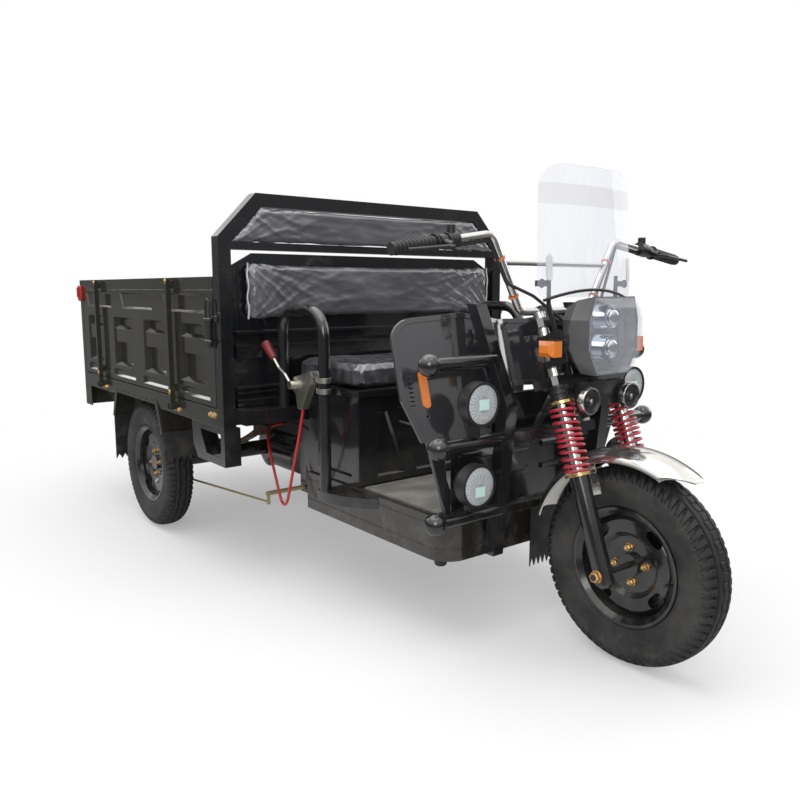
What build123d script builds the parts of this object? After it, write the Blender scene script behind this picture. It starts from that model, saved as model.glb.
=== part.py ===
from build123d import *
import math
import os

# Electric cargo tricycle: +X forward, +Y left, +Z up, ground at Z = 0, sizes in millimetres.

# Wheels and axles
wheelbase = 2025
rear_axle_x = -778
track = 1126
tyre_radius = 275
tyre_width = 115
tyre_sides = 48
rim_lip_radius = 165
rim_width = 90
disc_recess_radius = 78
window_radius = 116
nut_circle = 48
front_axle_radius = 8
rear_axle_radius = 12
front_axle_x = rear_axle_x + wheelbase
rear_wheel_y = track / 2

# Clearances
running_gap = 0.05
seat_gap = 0.3
gate_gap = 5

# Load bed
bed_behind_axle = 726
bed_length = 1538
bed_half_width = 650
bed_floor_z = 616
gate_top_z = 1063
gate_thick = 40
beam_bottom_z = 553
bed_rear_x = rear_axle_x - bed_behind_axle
bed_front_x = bed_rear_x + bed_length
floor_drop = 20
floor_sheet = 3
floor_rib = 14
post_size = 40
arch_z = 588
arch_rear = 320
arch_front = 290
arch_inner_y = 478

# Gate stampings, as heights above the ground
ledge_low_z = 792
ledge_high_z = 850
bay_low_z = 690
bay_high_z = 900
bay_margin = 72
bay_depth = 26
band_low_z = 940
band_high_z = 1006
rail_line_z = 1023

# Gate hinges
hinge_bar = 18
hinge_bar_y = bed_half_width + hinge_bar
hinge_pin = 4
side_hinge_z = 586
side_hinge_x = (-410, 455)
barrel_radius = 8
barrel_x = bed_rear_x - barrel_radius - 2
barrel_z = bed_floor_z + 2
barrel_y = (-400, 0, 400)
knuckle = 30

# Headboard and seat back
hoop_depth = 49
hoop_width = 45
hoop_top_z = 1339
hoop_shoulder_z = hoop_top_z - 146
hoop_top_half = 509
rail_section = 25
headrest_rail_z = hoop_top_z - 187
back_pad_top_z = headrest_rail_z - 37
back_pad_bottom_z = back_pad_top_z - 200
back_pad_proud = 25
board_top_z = headrest_rail_z - 10
board_inset = 15
board_sheet = 8
hoop_rear_x = bed_front_x
hoop_front_x = hoop_rear_x + hoop_depth

# Chassis
rail_height = 70
rail_width = 50
rail_y = 300
rail_top_z = beam_bottom_z
axle_tube = 35
axle_pad = 38
motor_radius = 85
motor_length = 220
housing_radius = 95
step_run = 70
step_x = hoop_front_x + 10
cab_rear_x = step_x + step_run + 5
spring_leaves = 5
leaf_thick = 6
leaf_half = 450

# Parking brake linkage
brake_y = 457
brake_shaft_x = hoop_front_x - 66
brake_shaft_z = 285
brake_shaft_radius = 8
brake_rod_radius = 4

# Cab floor, seat and front
platform_half = 380
platform_top_z = 385
platform_bottom_z = 255
platform_corner = 75
platform_sheet = 4
platform_front_x = front_axle_x - 345
mat_thick = 5
seat_box_front_x = hoop_front_x + 391
seat_box_half = 370
seat_box_top_z = 685
seat_pan_thick = 20
seat_pan_half = 405
cushion_thick = 77
arm_tube = 19
arm_y = 447
arm_top_z = 955
arm_bend = 85
cross_beam_top_z = 620
arm_rear_x = hoop_front_x + 52
arm_front_x = hoop_front_x + 312
wall_x = platform_front_x - 20
wall_sheet = 4
wall_top_z = 718
shield_low_z = 590
shield_top_z = 955
shield_half = 455
shield_thick = 5
shield_lean = 15
shield_border = 3
bumper_tube = 19
upright_size = 40
upright_y = 210
upright_top_z = 980
upright_kink_z = 700
ball_radius = 31
ball_y = 450
lamp_radius = 60
lamp_y = 330

# Steering, as distances along the fork from the front axle
rake = 20
fork_offset = 40
fork_half = 126
fork_tube = 17
fork_leg = 26
stem_radius = 14
spring_low = 265
spring_high = 472
spring_wire = 4.5
spring_mean_radius = 33
spring_turns = 11
lower_yoke = 515
yoke_thick = 26
upper_yoke = 680
fork_top = upper_yoke + 45
fender_radius = 328
fender_half = 70
fender_sheet = 3
fender_rear_angle = 163
fender_front_angle = 55

# Handlebar, headlight and screen
bar_radius = 11
bar_back = 46.4
bar_rise = 63.7
grip_radius = 16
lamp_rear_x = front_axle_x - 175
lamp_front_x = front_axle_x - 90
lamp_mid_z = 900
indicator_z = 865
horn_z = 724
horn_radius = 36
screen_x = front_axle_x - 158
screen_low_z = 1000
screen_top_z = 1351
screen_half = 202
screen_sheet = 3
cos_rake = math.cos(math.radians(rake))
sin_rake = math.sin(math.radians(rake))
bar_x = front_axle_x - bar_back * cos_rake - (upper_yoke + bar_rise) * sin_rake
bar_low_z = tyre_radius - bar_back * sin_rake + (upper_yoke + bar_rise) * cos_rake
bar_high_z = bar_low_z + 210
bar_end_z = bar_low_z + 160
bar_bend_y = 265
bar_end_y = 600


def block(x0, x1, y0, y1, z0, z1):
    """Box between two corners."""
    return Pos((x0 + x1) / 2, (y0 + y1) / 2, (z0 + z1) / 2) * Box(x1 - x0, y1 - y0, z1 - z0)


def prism_x(points, x0, x1):
    """Outline of (y, z) points, extruded from x0 to x1."""
    face = make_face(Polyline(*[(x0, y, z) for y, z in points], close=True))
    return extrude(face, amount=x1 - x0, dir=(1, 0, 0))


def prism_y(points, y0, y1):
    """Outline of (x, z) points, extruded from y0 to y1."""
    face = make_face(Polyline(*[(x, y0, z) for x, z in points], close=True))
    return extrude(face, amount=y1 - y0, dir=(0, 1, 0))


def rod(start, end, radius):
    """Round bar between two points."""
    a, b = Vector(*start), Vector(*end)
    length = (b - a).length
    bar = Cylinder(radius, length, align=(Align.CENTER, Align.CENTER, Align.MIN))
    return Plane(origin=a, z_dir=b - a) * bar


def disc_x(x0, x1, y, z, radius):
    """Round disc or pin parallel to X."""
    return rod((x0, y, z), (x1, y, z), radius)


def bent_tube(points, radius, bends):
    """Round tube along straight runs joined by arcs."""
    path = FilletPolyline(*points, radius=bends)
    return sweep(Plane(origin=path @ 0, z_dir=path % 0) * Circle(radius), path=path)


def both(shape):
    """The shape and its mirror image across the centre plane."""
    return shape + mirror(shape, about=Plane.XZ)


def mirrored(points):
    """An outline of (y, z) points given for one side, closed by its mirror image."""
    return points + [(-y, z) for y, z in reversed(points)]


def ring_y(profile, x, y, z):
    """Solid of revolution about an axle parallel to Y: profile holds (distance along Y, radius)."""
    face = make_face(Polyline(*[(0, along, radius) for along, radius in profile], close=True))
    return Pos(x, y, z) * revolve(face, axis=Axis.Y)


def stamp_y(points, y, depth, slope):
    """Sloped-sided recess to take from a panel whose outer face lies at y: outline of (x, z) points."""
    face = make_face(Polyline(*[(x, y, z) for x, z in points], close=True))
    return extrude(face, amount=depth, dir=(0, -1, 0), taper=slope)


def stamp_x(points, x, depth, slope):
    """Sloped-sided recess to take from a panel whose outer face lies at x: outline of (y, z) points."""
    face = make_face(Polyline(*[(x, y, z) for y, z in points], close=True))
    return extrude(face, amount=depth, dir=(-1, 0, 0), taper=slope)


def steered(shape):
    """Place a shape given in the fork's frame: x ahead of the legs, z up along the legs from the axle."""
    frame = Plane(origin=(front_axle_x, 0, tyre_radius), x_dir=(cos_rake, 0, sin_rake),
                  z_dir=(-sin_rake, 0, cos_rake))
    return frame * shape


def axis_x(z):
    """X of the steering axis at a height."""
    return front_axle_x - fork_offset / cos_rake - (z - tyre_radius) * sin_rake / cos_rake


def leg_x(z):
    """X of the fork tubes' axis at a height."""
    return front_axle_x - (z - tyre_radius) * sin_rake / cos_rake


def bar_z(y):
    """Height of the bar's end run at a distance from the centre."""
    return bar_high_z + (y - bar_bend_y) * (bar_end_z - bar_high_z) / (bar_end_y - bar_bend_y)


# Wheels
def tyre(x, y):
    """Closed tyre as a ruled loft through many-sided rings, seated on the rim's lips."""
    half = tyre_width / 2
    shoulder = 10
    crown = 22
    side_high = 36
    side_low = 45
    one_side = [(rim_width / 2, rim_lip_radius + 6), (half, rim_lip_radius + side_low),
                (half, tyre_radius - side_high), (half - shoulder, tyre_radius - 8),
                (half - crown, tyre_radius)]
    sections = [(-along, radius) for along, radius in one_side] + one_side[::-1]
    rings = [Plane(origin=(x, y + along, tyre_radius), z_dir=(0, 1, 0)) * RegularPolygon(radius, tyre_sides)
             for along, radius in sections]
    bore = Pos(x, y, tyre_radius) * Rot(90, 0, 0) * Cylinder(rim_lip_radius, 2 * tyre_width)
    return loft(rings, ruled=True) - bore


def rim(x, y, bore, outward):
    """Pressed steel rim: barrel with its well, dished disc with oval windows, hub and brake drum."""
    lip = rim_width / 2
    well = rim_lip_radius - 22
    disc_sheet = 5
    barrel = ring_y([(-lip, rim_lip_radius), (lip, rim_lip_radius), (lip, rim_lip_radius - 8),
                     (lip - 12, well), (-lip + 12, well), (-lip, rim_lip_radius - 8)], x, y, tyre_radius)
    face = [(0, well + 4), (16, 126), (16, 92), (4, disc_recess_radius), (4, 0)]
    dish = [(outward * along, radius) for along, radius in face]
    back = [(outward * (along - disc_sheet), radius) for along, radius in reversed(face)]
    hub_length, hub_radius, cap = 60, 32, 20
    hub = [(-outward * hub_length, hub_radius), (outward * cap, hub_radius), (outward * cap, 0),
           (-outward * hub_length, 0)]
    wheel = barrel + ring_y(dish + back, x, y, tyre_radius) + ring_y(hub, x, y, tyre_radius)
    window = extrude(SlotOverall(54, 30, rotation=90), amount=rim_width, both=True)
    for turn in range(4):
        place = Rot(0, 90 * turn - 50, 0) * Pos(window_radius, 0, 0) * Rot(90, 0, 0)
        wheel -= Pos(x, y, tyre_radius) * place * window
    valve = Cylinder(6, 2 * rim_width)
    wheel -= Pos(x, y, tyre_radius) * Rot(0, 5, 0) * Pos(well - 12, 0, 0) * Rot(90, 0, 0) * valve
    drum_inner, drum_outer, drum_radius = 46, 10, 128
    wheel += ring_y([(-outward * drum_inner, drum_radius), (-outward * drum_outer, drum_radius),
                     (-outward * drum_outer, 0), (-outward * drum_inner, 0)], x, y, tyre_radius)
    return wheel - Pos(x, y, tyre_radius) * Rot(90, 0, 0) * Cylinder(bore, 200)


# Chassis
def chassis_frame():
    """Two box rails that step down from the bed to the cab floor, cross members and brake hangers."""
    x_rear, x_front = bed_rear_x + 30, platform_front_x - 30
    low_top = platform_top_z - 5
    low_bottom = platform_bottom_z + 20
    high_bottom = rail_top_z - rail_height
    outline = [(x_rear, rail_top_z), (step_x, rail_top_z), (step_x + step_run, low_top), (x_front, low_top),
               (x_front, low_bottom), (step_x + 20, low_bottom), (step_x - 60, high_bottom),
               (x_rear, high_bottom)]
    rail = prism_y(outline, rail_y - rail_width / 2, rail_y + rail_width / 2)
    frame = both(rail)
    inner = rail_y - rail_width / 2
    member = 25
    for x in (x_rear + 30, rear_axle_x - 420, rear_axle_x, rear_axle_x + 420, bed_front_x - 60):
        frame += block(x - member, x + member, -inner, inner, rail_top_z - 55, rail_top_z - 5)
    for x in (step_x + 150, platform_front_x - 80):
        frame += block(x - member, x + member, -inner, inner, low_bottom + 5, low_top - 5)
    hanger = block(brake_shaft_x - 22, brake_shaft_x + 22, rail_y - 6, rail_y + 6, brake_shaft_z - 18,
                   high_bottom + 2)
    hanger -= rod((brake_shaft_x, rail_y - 20, brake_shaft_z), (brake_shaft_x, rail_y + 20, brake_shaft_z),
                  brake_shaft_radius + seat_gap)
    return frame + both(hanger)


def steering_neck():
    """Head tube held by a gusset that stands out from the front wall."""
    low, high = lower_yoke + yoke_thick + 4, upper_yoke - 4
    z_low, z_high = tyre_radius + low * cos_rake, tyre_radius + high * cos_rake
    tube = steered(Pos(-fork_offset, 0, (low + high) / 2) * Cylinder(24, high - low))
    web_half = 20
    web = prism_y([(wall_x, z_low - 190), (axis_x(z_low + 15) - 10, z_low + 15),
                   (axis_x(z_high - 25) - 10, z_high - 25), (wall_x, wall_top_z - 10)], -web_half, web_half)
    bore = Cylinder(stem_radius + running_gap, 2 * (high - low))
    return tube + web - steered(Pos(-fork_offset, 0, (low + high) / 2) * bore)


def rear_axle():
    """Axle tube with its differential housing, brake backing plates, brake arms and spring pads."""
    plate_inset, plate_radius, plate_thick = 85, 115, 30
    centre = Pos(rear_axle_x, 0, tyre_radius) * Rot(90, 0, 0)
    axle = centre * Cylinder(axle_tube, 2 * (rear_wheel_y - plate_inset + 15))
    cover = ring_y([(-45, 60), (-28, housing_radius), (28, housing_radius), (45, 60), (45, 0), (-45, 0)],
                   rear_axle_x, 0, tyre_radius)
    axle += cover + centre * Cylinder(rear_axle_radius, 2 * (rear_wheel_y + 20))
    for side in (-1, 1):
        axle += Pos(rear_axle_x, side * (rear_wheel_y - plate_inset), tyre_radius) * Rot(90, 0, 0) \
            * Cylinder(plate_radius, plate_thick)
    arm = block(rear_axle_x + 20, rear_axle_x + 70, brake_y - 7, rear_wheel_y - plate_inset - 14, 180, 212)
    pad = block(rear_axle_x - 45, rear_axle_x + 45, rail_y - 30, rail_y + 30,
                tyre_radius, tyre_radius + axle_pad)
    return axle + both(arm + pad)


def drive_motor():
    """Motor case on the front of the differential."""
    case = Pos(rear_axle_x + housing_radius + motor_length / 2, 0, tyre_radius) * Rot(0, 90, 0) \
        * Cylinder(motor_radius, motor_length)
    return chamfer(case.edges().filter_by(GeomType.CIRCLE), 8)


def leaf_springs():
    """A stack of leaves each side, its eyes hung from the rails."""
    pad = tyre_radius + axle_pad
    hanger_bottom = rail_top_z - rail_height - 50
    eye = hanger_bottom + 30
    stack = None
    for leaf in range(spring_leaves):
        half = leaf_half - leaf * 80
        drop = (eye - pad - 32) * (half / leaf_half) ** 2
        low = pad + leaf_thick * (spring_leaves - 1 - leaf)
        high = low + leaf_thick
        under = ThreePointArc((rear_axle_x - half, rail_y, low + drop), (rear_axle_x, rail_y, low),
                              (rear_axle_x + half, rail_y, low + drop))
        over = ThreePointArc((rear_axle_x + half, rail_y, high + drop), (rear_axle_x, rail_y, high),
                             (rear_axle_x - half, rail_y, high + drop))
        ends = [Line(under @ 1, over @ 0).edge(), Line(over @ 1, under @ 0).edge()]
        outline = Wire([under.edge(), ends[0], over.edge(), ends[1]])
        body = extrude(Face(outline), amount=25, dir=(0, 1, 0), both=True)
        stack = body if stack is None else stack + body
    for side in (-1, 1):
        x = rear_axle_x + side * leaf_half
        stack += block(x - 15, x + 15, rail_y - 25, rail_y + 25, hanger_bottom, rail_top_z - rail_height)
    return both(stack)


# Bed
def bed_beams():
    """Side, rear and front beams under the gates, with cross bearers that stop short of the wheels."""
    inner = bed_half_width - gate_thick
    bearer_top = bed_floor_z - floor_drop
    bearers = None
    count = 4
    for place in range(count):
        x = bed_rear_x + (place + 1) * bed_length / (count + 1)
        bearer = block(x - 25, x + 25, -inner, inner, beam_bottom_z, bearer_top)
        bearers = bearer if bearers is None else bearers + bearer
    low = beam_bottom_z - 1
    x0, x1 = rear_axle_x - arch_rear, rear_axle_x + arch_front
    bearers -= both(block(x0, x1, arch_inner_y, inner + 1, low, bearer_top + 1))
    sides = both(block(bed_rear_x, bed_front_x, inner, bed_half_width, beam_bottom_z, bed_floor_z))
    arch = prism_y([(x0, low), (x0, beam_bottom_z), (x0 + 50, arch_z), (x1 - 50, arch_z),
                    (x1, beam_bottom_z), (x1, low)], inner - 1, bed_half_width + 1)
    frame = sides - both(arch) + bearers
    for x in (bed_rear_x, bed_front_x - gate_thick):
        frame += block(x, x + gate_thick, -inner, inner, beam_bottom_z, bed_floor_z)
    return frame


def bed_floor():
    """Floor sheet with pressed ribs running along the bed."""
    inner = bed_half_width - gate_thick
    low = bed_floor_z - floor_drop
    floor = block(bed_rear_x + gate_thick, bed_front_x - gate_thick, -inner, inner, low, low + floor_sheet)
    rib_half, rib_end = 35, 20
    pitch = (inner - 2 * rib_half - rib_end) / 4
    for place in range(9):
        y = (place - 4) * pitch
        floor += block(bed_rear_x + gate_thick + rib_end, bed_front_x - gate_thick - rib_end,
                       y - rib_half, y + rib_half, low, low + floor_rib)
    return floor


def bed_posts():
    """Rear corner posts."""
    post = block(bed_rear_x, bed_rear_x + post_size, bed_half_width - post_size, bed_half_width,
                 bed_floor_z, gate_top_z)
    return both(post)


def side_hinges():
    """Ears and pins on the side beams, one pair for each hinge bar."""
    half = hinge_bar / 2
    ear_gap, ear_thick, ear_reach = 2, 4, 12
    near, far = half + ear_gap, half + ear_gap + ear_thick
    ears = None
    for along in side_hinge_x:
        x = rear_axle_x + along
        for low, high in ((x + near, x + far), (x - far, x - near)):
            ear = block(low, high, bed_half_width, hinge_bar_y + ear_reach, side_hinge_z - ear_reach,
                        side_hinge_z + ear_reach)
            ears = ear if ears is None else ears + ear
        ears += rod((x - far - 3, hinge_bar_y, side_hinge_z), (x + far + 3, hinge_bar_y, side_hinge_z),
                    hinge_pin)
    return both(ears)


def rear_hinges():
    """Fixed knuckles and pins of the tailgate's hinges."""
    hinges = None
    for y in barrel_y:
        barrel = rod((barrel_x, y - knuckle, barrel_z), (barrel_x, y, barrel_z), barrel_radius)
        barrel += block(barrel_x, bed_rear_x, y - knuckle, y, barrel_z - knuckle, barrel_z)
        barrel += rod((barrel_x, y - knuckle, barrel_z), (barrel_x, y + knuckle, barrel_z), hinge_pin)
        hinges = barrel if hinges is None else hinges + barrel
    return hinges


def rear_bar():
    """Cross plate under the bed's rear beam that carries the lamps."""
    low, sheet = 455, 5
    bar = block(bed_rear_x + 25, bed_rear_x + 25 + sheet, -bed_half_width, bed_half_width, low, beam_bottom_z)
    end = block(bed_rear_x, bed_rear_x + 90, bed_half_width - sheet, bed_half_width, low, beam_bottom_z)
    return bar + both(end)


def rectangle(a, b, low, high):
    """Corners of an upright rectangle."""
    return [(a, low), (b, low), (b, high), (a, high)]


def gate_panel(start, end, bays, bands):
    """Stamped gate along X with its outer face at Y = 0: top rail, band recesses, bays with a ledge, foot."""
    low = bed_floor_z + gate_gap
    panel = block(start, end, -gate_thick, 0, low, gate_top_z)
    groove = 4
    panel -= block(start - 1, end + 1, -groove / 2, 1, rail_line_z - groove, rail_line_z)
    pitch = (end - start) / bands
    for place in range(bands):
        a = start + place * pitch + 44
        b = a + pitch - 88
        band = [(a + 30, band_low_z), (b - 30, band_low_z), (b, band_high_z), (a, band_high_z)]
        panel -= stamp_y(band, 0, 8, 40)
    pitch = (end - start) / bays
    ledge_proud = 5
    ledge_rise = 14
    for place in range(bays):
        a = start + place * pitch + bay_margin
        b = a + pitch - 2 * bay_margin
        panel -= stamp_y(rectangle(a, b, bay_low_z, bay_high_z), 0, bay_depth, 22)
        panel -= stamp_y(rectangle(a - 24, b + 24, low + 18, bay_low_z - 18), 0, 8, 48)
        panel += prism_x([(-bay_depth - 2, ledge_low_z), (-ledge_proud, ledge_low_z),
                          (-ledge_proud, ledge_high_z), (-bay_depth - 2, ledge_high_z + ledge_rise)],
                         a + 1, b - 1)
    return panel


def side_gate(side):
    """Side gate and the two bars it hinges on."""
    low = bed_floor_z + gate_gap
    start = bed_rear_x + post_size + gate_gap
    gate = Pos(0, bed_half_width, 0) * gate_panel(start, hoop_rear_x - gate_gap, 4, 3)
    half = hinge_bar / 2
    strap = 30
    for along in side_hinge_x:
        x = rear_axle_x + along
        gate += block(x - half, x + half, hinge_bar_y - half, hinge_bar_y + half,
                      side_hinge_z, gate_top_z - 5)
        gate += rod((x - half, hinge_bar_y, side_hinge_z), (x + half, hinge_bar_y, side_hinge_z), half)
        for z in (low + 20, gate_top_z - strap - 10):
            gate += block(x - half, x + half, bed_half_width - 10, hinge_bar_y, z, z + strap)
        gate -= rod((x - strap, hinge_bar_y, side_hinge_z), (x + strap, hinge_bar_y, side_hinge_z),
                    hinge_pin + running_gap)
    return gate if side > 0 else mirror(gate, about=Plane.XZ)


def tailgate():
    """Rear gate between the corner posts."""
    inner = bed_half_width - post_size - gate_gap
    gate = Pos(bed_rear_x, 0, 0) * Rot(0, 0, 90) * gate_panel(-inner, inner, 3, 2)
    side_gap = 0.5
    for y in barrel_y:
        gate += rod((barrel_x, y + side_gap, barrel_z), (barrel_x, y + knuckle, barrel_z), barrel_radius)
        gate += block(barrel_x, bed_rear_x + 2, y + side_gap, y + knuckle, barrel_z + 3.5, barrel_z + knuckle)
        gate -= rod((barrel_x, y - 1, barrel_z), (barrel_x, y + knuckle + 1, barrel_z),
                    hinge_pin + running_gap)
    return gate


# Headboard and seat back
shoulder_slope = math.atan2(hoop_top_z - hoop_shoulder_z, bed_half_width - hoop_top_half)


def hoop_outline(inset):
    """Outline of the hoop's legs, shoulders and top, moved in by a distance."""
    corner = inset * math.tan((math.pi / 2 - shoulder_slope) / 2)
    crown = inset * math.tan(shoulder_slope / 2)
    side = -bed_half_width + inset
    return mirrored([(side, beam_bottom_z), (side, hoop_shoulder_z - corner),
                     (-hoop_top_half + crown, hoop_top_z - inset)])


def headboard_frame():
    """Square tube hoop with sloped shoulders, the headrest's lower rail and the seat's cross beam."""
    hoop = prism_x(hoop_outline(0), hoop_rear_x, hoop_front_x)
    hoop -= prism_x(hoop_outline(hoop_width), hoop_rear_x, hoop_front_x)
    inside = bed_half_width - hoop_width
    hoop += block(hoop_rear_x, hoop_front_x, -inside, inside, headrest_rail_z, headrest_rail_z + rail_section)
    hoop += block(hoop_rear_x + 35, arm_rear_x + arm_tube + 3, -inside, inside, cross_beam_top_z - 50,
                  cross_beam_top_z)
    return hoop


def headboard():
    """Sheet panel with cut top corners and stamped ledges that closes the front of the bed."""
    inner = bed_half_width - hoop_width
    x = hoop_rear_x + board_inset
    front = x + board_sheet
    bottom = beam_bottom_z + 5
    outline = mirrored([(-inner, bottom), (-inner, board_top_z - 48), (-inner + 88, board_top_z)])
    panel = prism_x(outline, x, front)
    proud = 20
    low, pad = cross_beam_top_z, back_pad_bottom_z
    ledges = ((low + 2, low + 39, 14), (low + 46, low + 55, 2), (low + 63, low + 72, 2),
              (pad - 128, pad - 65, 18), (pad - 45, pad - 32, 4))
    for low, high, rise in ledges:
        panel += prism_y([(x, low), (front + proud, low), (front + proud, high - rise), (x, high)],
                         -inner + 12, inner - 12)
    return panel


def back_cushion():
    """Backrest pad on the headboard."""
    half = bed_half_width - hoop_width - 45
    rear = hoop_rear_x + board_inset + board_sheet + seat_gap
    pad = block(rear, hoop_front_x + back_pad_proud, -half, half, back_pad_bottom_z, back_pad_top_z)
    return fillet(pad.edges().filter_by(Axis.X), 30)


def headrest_cushion():
    """Padded panel that fills the hoop's trapezoid."""
    pad = prism_x(hoop_outline(hoop_width + 2), hoop_rear_x + 8, hoop_front_x + 10)
    low = headrest_rail_z + rail_section + seat_gap
    return pad & block(hoop_rear_x, hoop_front_x + 20, -bed_half_width, bed_half_width, low, hoop_top_z)


# Cab
def platform_outline(inset, low):
    """Floor outline with rounded front corners, as a block moved in by a distance."""
    length = platform_front_x - cab_rear_x
    body = Pos(cab_rear_x + length / 2 - inset, 0, low) \
        * Box(length, 2 * (platform_half - inset), platform_top_z - platform_bottom_z,
              align=(Align.CENTER, Align.CENTER, Align.MIN))
    return fillet(body.edges().filter_by(Axis.Z).sort_by(Axis.X)[-2:], platform_corner - inset)


def platform():
    """Folded sheet floor with skirts and rounded front corners, and two rolled ribs along the skirt."""
    hollow = platform_outline(platform_sheet, platform_bottom_z - platform_sheet)
    shell = platform_outline(0, platform_bottom_z) - hollow
    groove_depth, groove = 1.5, 5
    for z in (platform_top_z - 26, platform_top_z - 96):
        band = platform_outline(-1, 0) - platform_outline(groove_depth, -1)
        shell -= Pos(0, 0, z) * (band & block(cab_rear_x - 9, 2 * platform_front_x, -platform_half - 9,
                                              platform_half + 9, 1, 1 + groove))
    return shell


def floor_mat():
    """Rubber mat in front of the seat box."""
    margin = 25
    half = platform_half - margin
    return block(seat_box_front_x + 10, platform_front_x - 60, -half, half,
                 platform_top_z, platform_top_z + mat_thick)


def front_wall():
    """Steel sheet behind the bumper with its flange and a stiffening rib."""
    back = wall_x - wall_sheet
    broad, narrow = 340, 185
    wall = block(back, wall_x, -broad, broad, platform_top_z, shield_low_z - 10)
    wall += block(back, wall_x, -narrow, narrow, platform_top_z, wall_top_z)
    wall += block(back - 20, wall_x, -narrow, narrow, wall_top_z - wall_sheet, wall_top_z)
    for z in (470, 540):
        wall += prism_y([(wall_x, z), (wall_x + 8, z + 6), (wall_x + 8, z + 16), (wall_x, z + 22)],
                        -broad + 20, -30)
        wall += prism_y([(wall_x, z), (wall_x + 8, z + 6), (wall_x + 8, z + 16), (wall_x, z + 22)],
                        30, broad - 20)
    return wall


def seat_box():
    """Hollow sheet box under the seat, its front and sides stamped with sloped recesses."""
    x0, x1 = cab_rear_x, seat_box_front_x
    sheet, front_sheet, deep = 3, 12, 8
    box = block(x0, x1, -seat_box_half, seat_box_half, platform_top_z, seat_box_top_z)
    low = platform_top_z + 30
    high = seat_box_top_z - 57
    outer = [(-295, low), (-178, low), (-258, high), (-295, high)]
    crown = mirrored([(-217, high + 10), (-203, high - 44), (-152, high - 61)])
    foot = mirrored([(-174, low + 98), (-130, low)])
    for outline in (outer, [(-y, z) for y, z in outer], crown, foot):
        box -= stamp_x(outline, x1, deep, 40)
    recess = [(x0 + 60, low), (x1 - 40, low), (x1 - 120, high - 60), (x0 + 60, high)]
    side = stamp_y(recess, seat_box_half, deep, 40)
    box -= both(side)
    half = seat_box_half - front_sheet
    return box - block(x0 + sheet, x1 - front_sheet, -half, half, platform_top_z + sheet, seat_box_top_z + 1)


def battery_pack():
    """Traction battery, one plain block inside the seat box."""
    low = platform_top_z + 3
    return block(cab_rear_x + 20, seat_box_front_x - 40, -270, 270, low, low + 240)


def seat_pan():
    """Steel tray with a raised lip that carries the seat cushion."""
    x0, x1 = hoop_front_x + 8, seat_box_front_x + 30
    pan = block(x0, x1, -seat_pan_half, seat_pan_half, seat_box_top_z, seat_box_top_z + seat_pan_thick)
    return chamfer(pan.edges().filter_by(Axis.Z), 14)


def seat_cushion():
    """Driver's bench cushion."""
    low = seat_box_top_z + seat_pan_thick + seat_gap
    half = seat_pan_half - 20
    pad = block(hoop_front_x + 14, seat_box_front_x + 5, -half, half, low, low + cushion_thick)
    return fillet(pad.edges().filter_by(Axis.Z), 35)


def armrest_hoops():
    """Bent tube hoops at the seat's ends, each foot on a curved step beside the platform."""
    foot_top = platform_top_z - 8
    foot_low = foot_top - 32
    path = [(arm_rear_x, arm_y, cross_beam_top_z), (arm_rear_x, arm_y, arm_top_z),
            (arm_front_x, arm_y, arm_top_z), (arm_front_x, arm_y, foot_low + 10)]
    hoop = bent_tube(path, arm_tube, arm_bend)
    inner, outer = platform_half + seat_gap, arm_y + arm_tube
    x0, x1 = arm_front_x - arm_tube - 4, arm_front_x + 195
    solid = []
    for sheet in (0, 5):
        curve = ThreePointArc((x0 + sheet, outer - sheet, foot_low),
                              (x0 + 120, outer - 18 - sheet, foot_low),
                              (x1 - 3 * sheet, inner, foot_low))
        edge = Polyline((x1 - 3 * sheet, inner, foot_low), (x0 + sheet, inner, foot_low),
                        (x0 + sheet, outer - sheet, foot_low))
        face = make_face(Wire([curve.edge()] + edge.edges()))
        solid.append(extrude(face, amount=foot_top - foot_low - sheet, dir=(0, 0, 1)))
    return both(hoop + (solid[0] - solid[1]))


def shield_band(near, far):
    """Leaning sheet of two convex halves that meet at a valley, between two distances from the rear face."""
    low = shield_low_z - 20
    crest_x = platform_front_x - 10
    edge_x, valley_x, crest_y = crest_x - 60, crest_x - 50, 230
    front, back = [ThreePointArc((edge_x + ahead, -shield_half, low), (crest_x + ahead, -crest_y, low),
                                 (valley_x + ahead, 0, low)) for ahead in (far, near)]
    ends = [Line(front @ 1, back @ 1).edge(), Line(back @ 0, front @ 0).edge()]
    wire = Wire([front.edge(), ends[0], back.edge(), ends[1]])
    lean = math.radians(shield_lean)
    rise = (shield_top_z - low + 20) / math.cos(lean)
    return both(extrude(Face(wire), amount=rise, dir=(-math.sin(lean), 0, math.cos(lean))))


def capsule(y, z, length, width):
    """Upright capsule outline extruded right along X, for cuts and trims in the shield."""
    outline = Plane.YZ * Pos(y, z) * SlotOverall(length, width, rotation=90)
    return extrude(outline, amount=2 * wheelbase, both=True)


reflector_y = 390
reflector_z = 745
reflector_length = 100
reflector_width = 22


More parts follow.
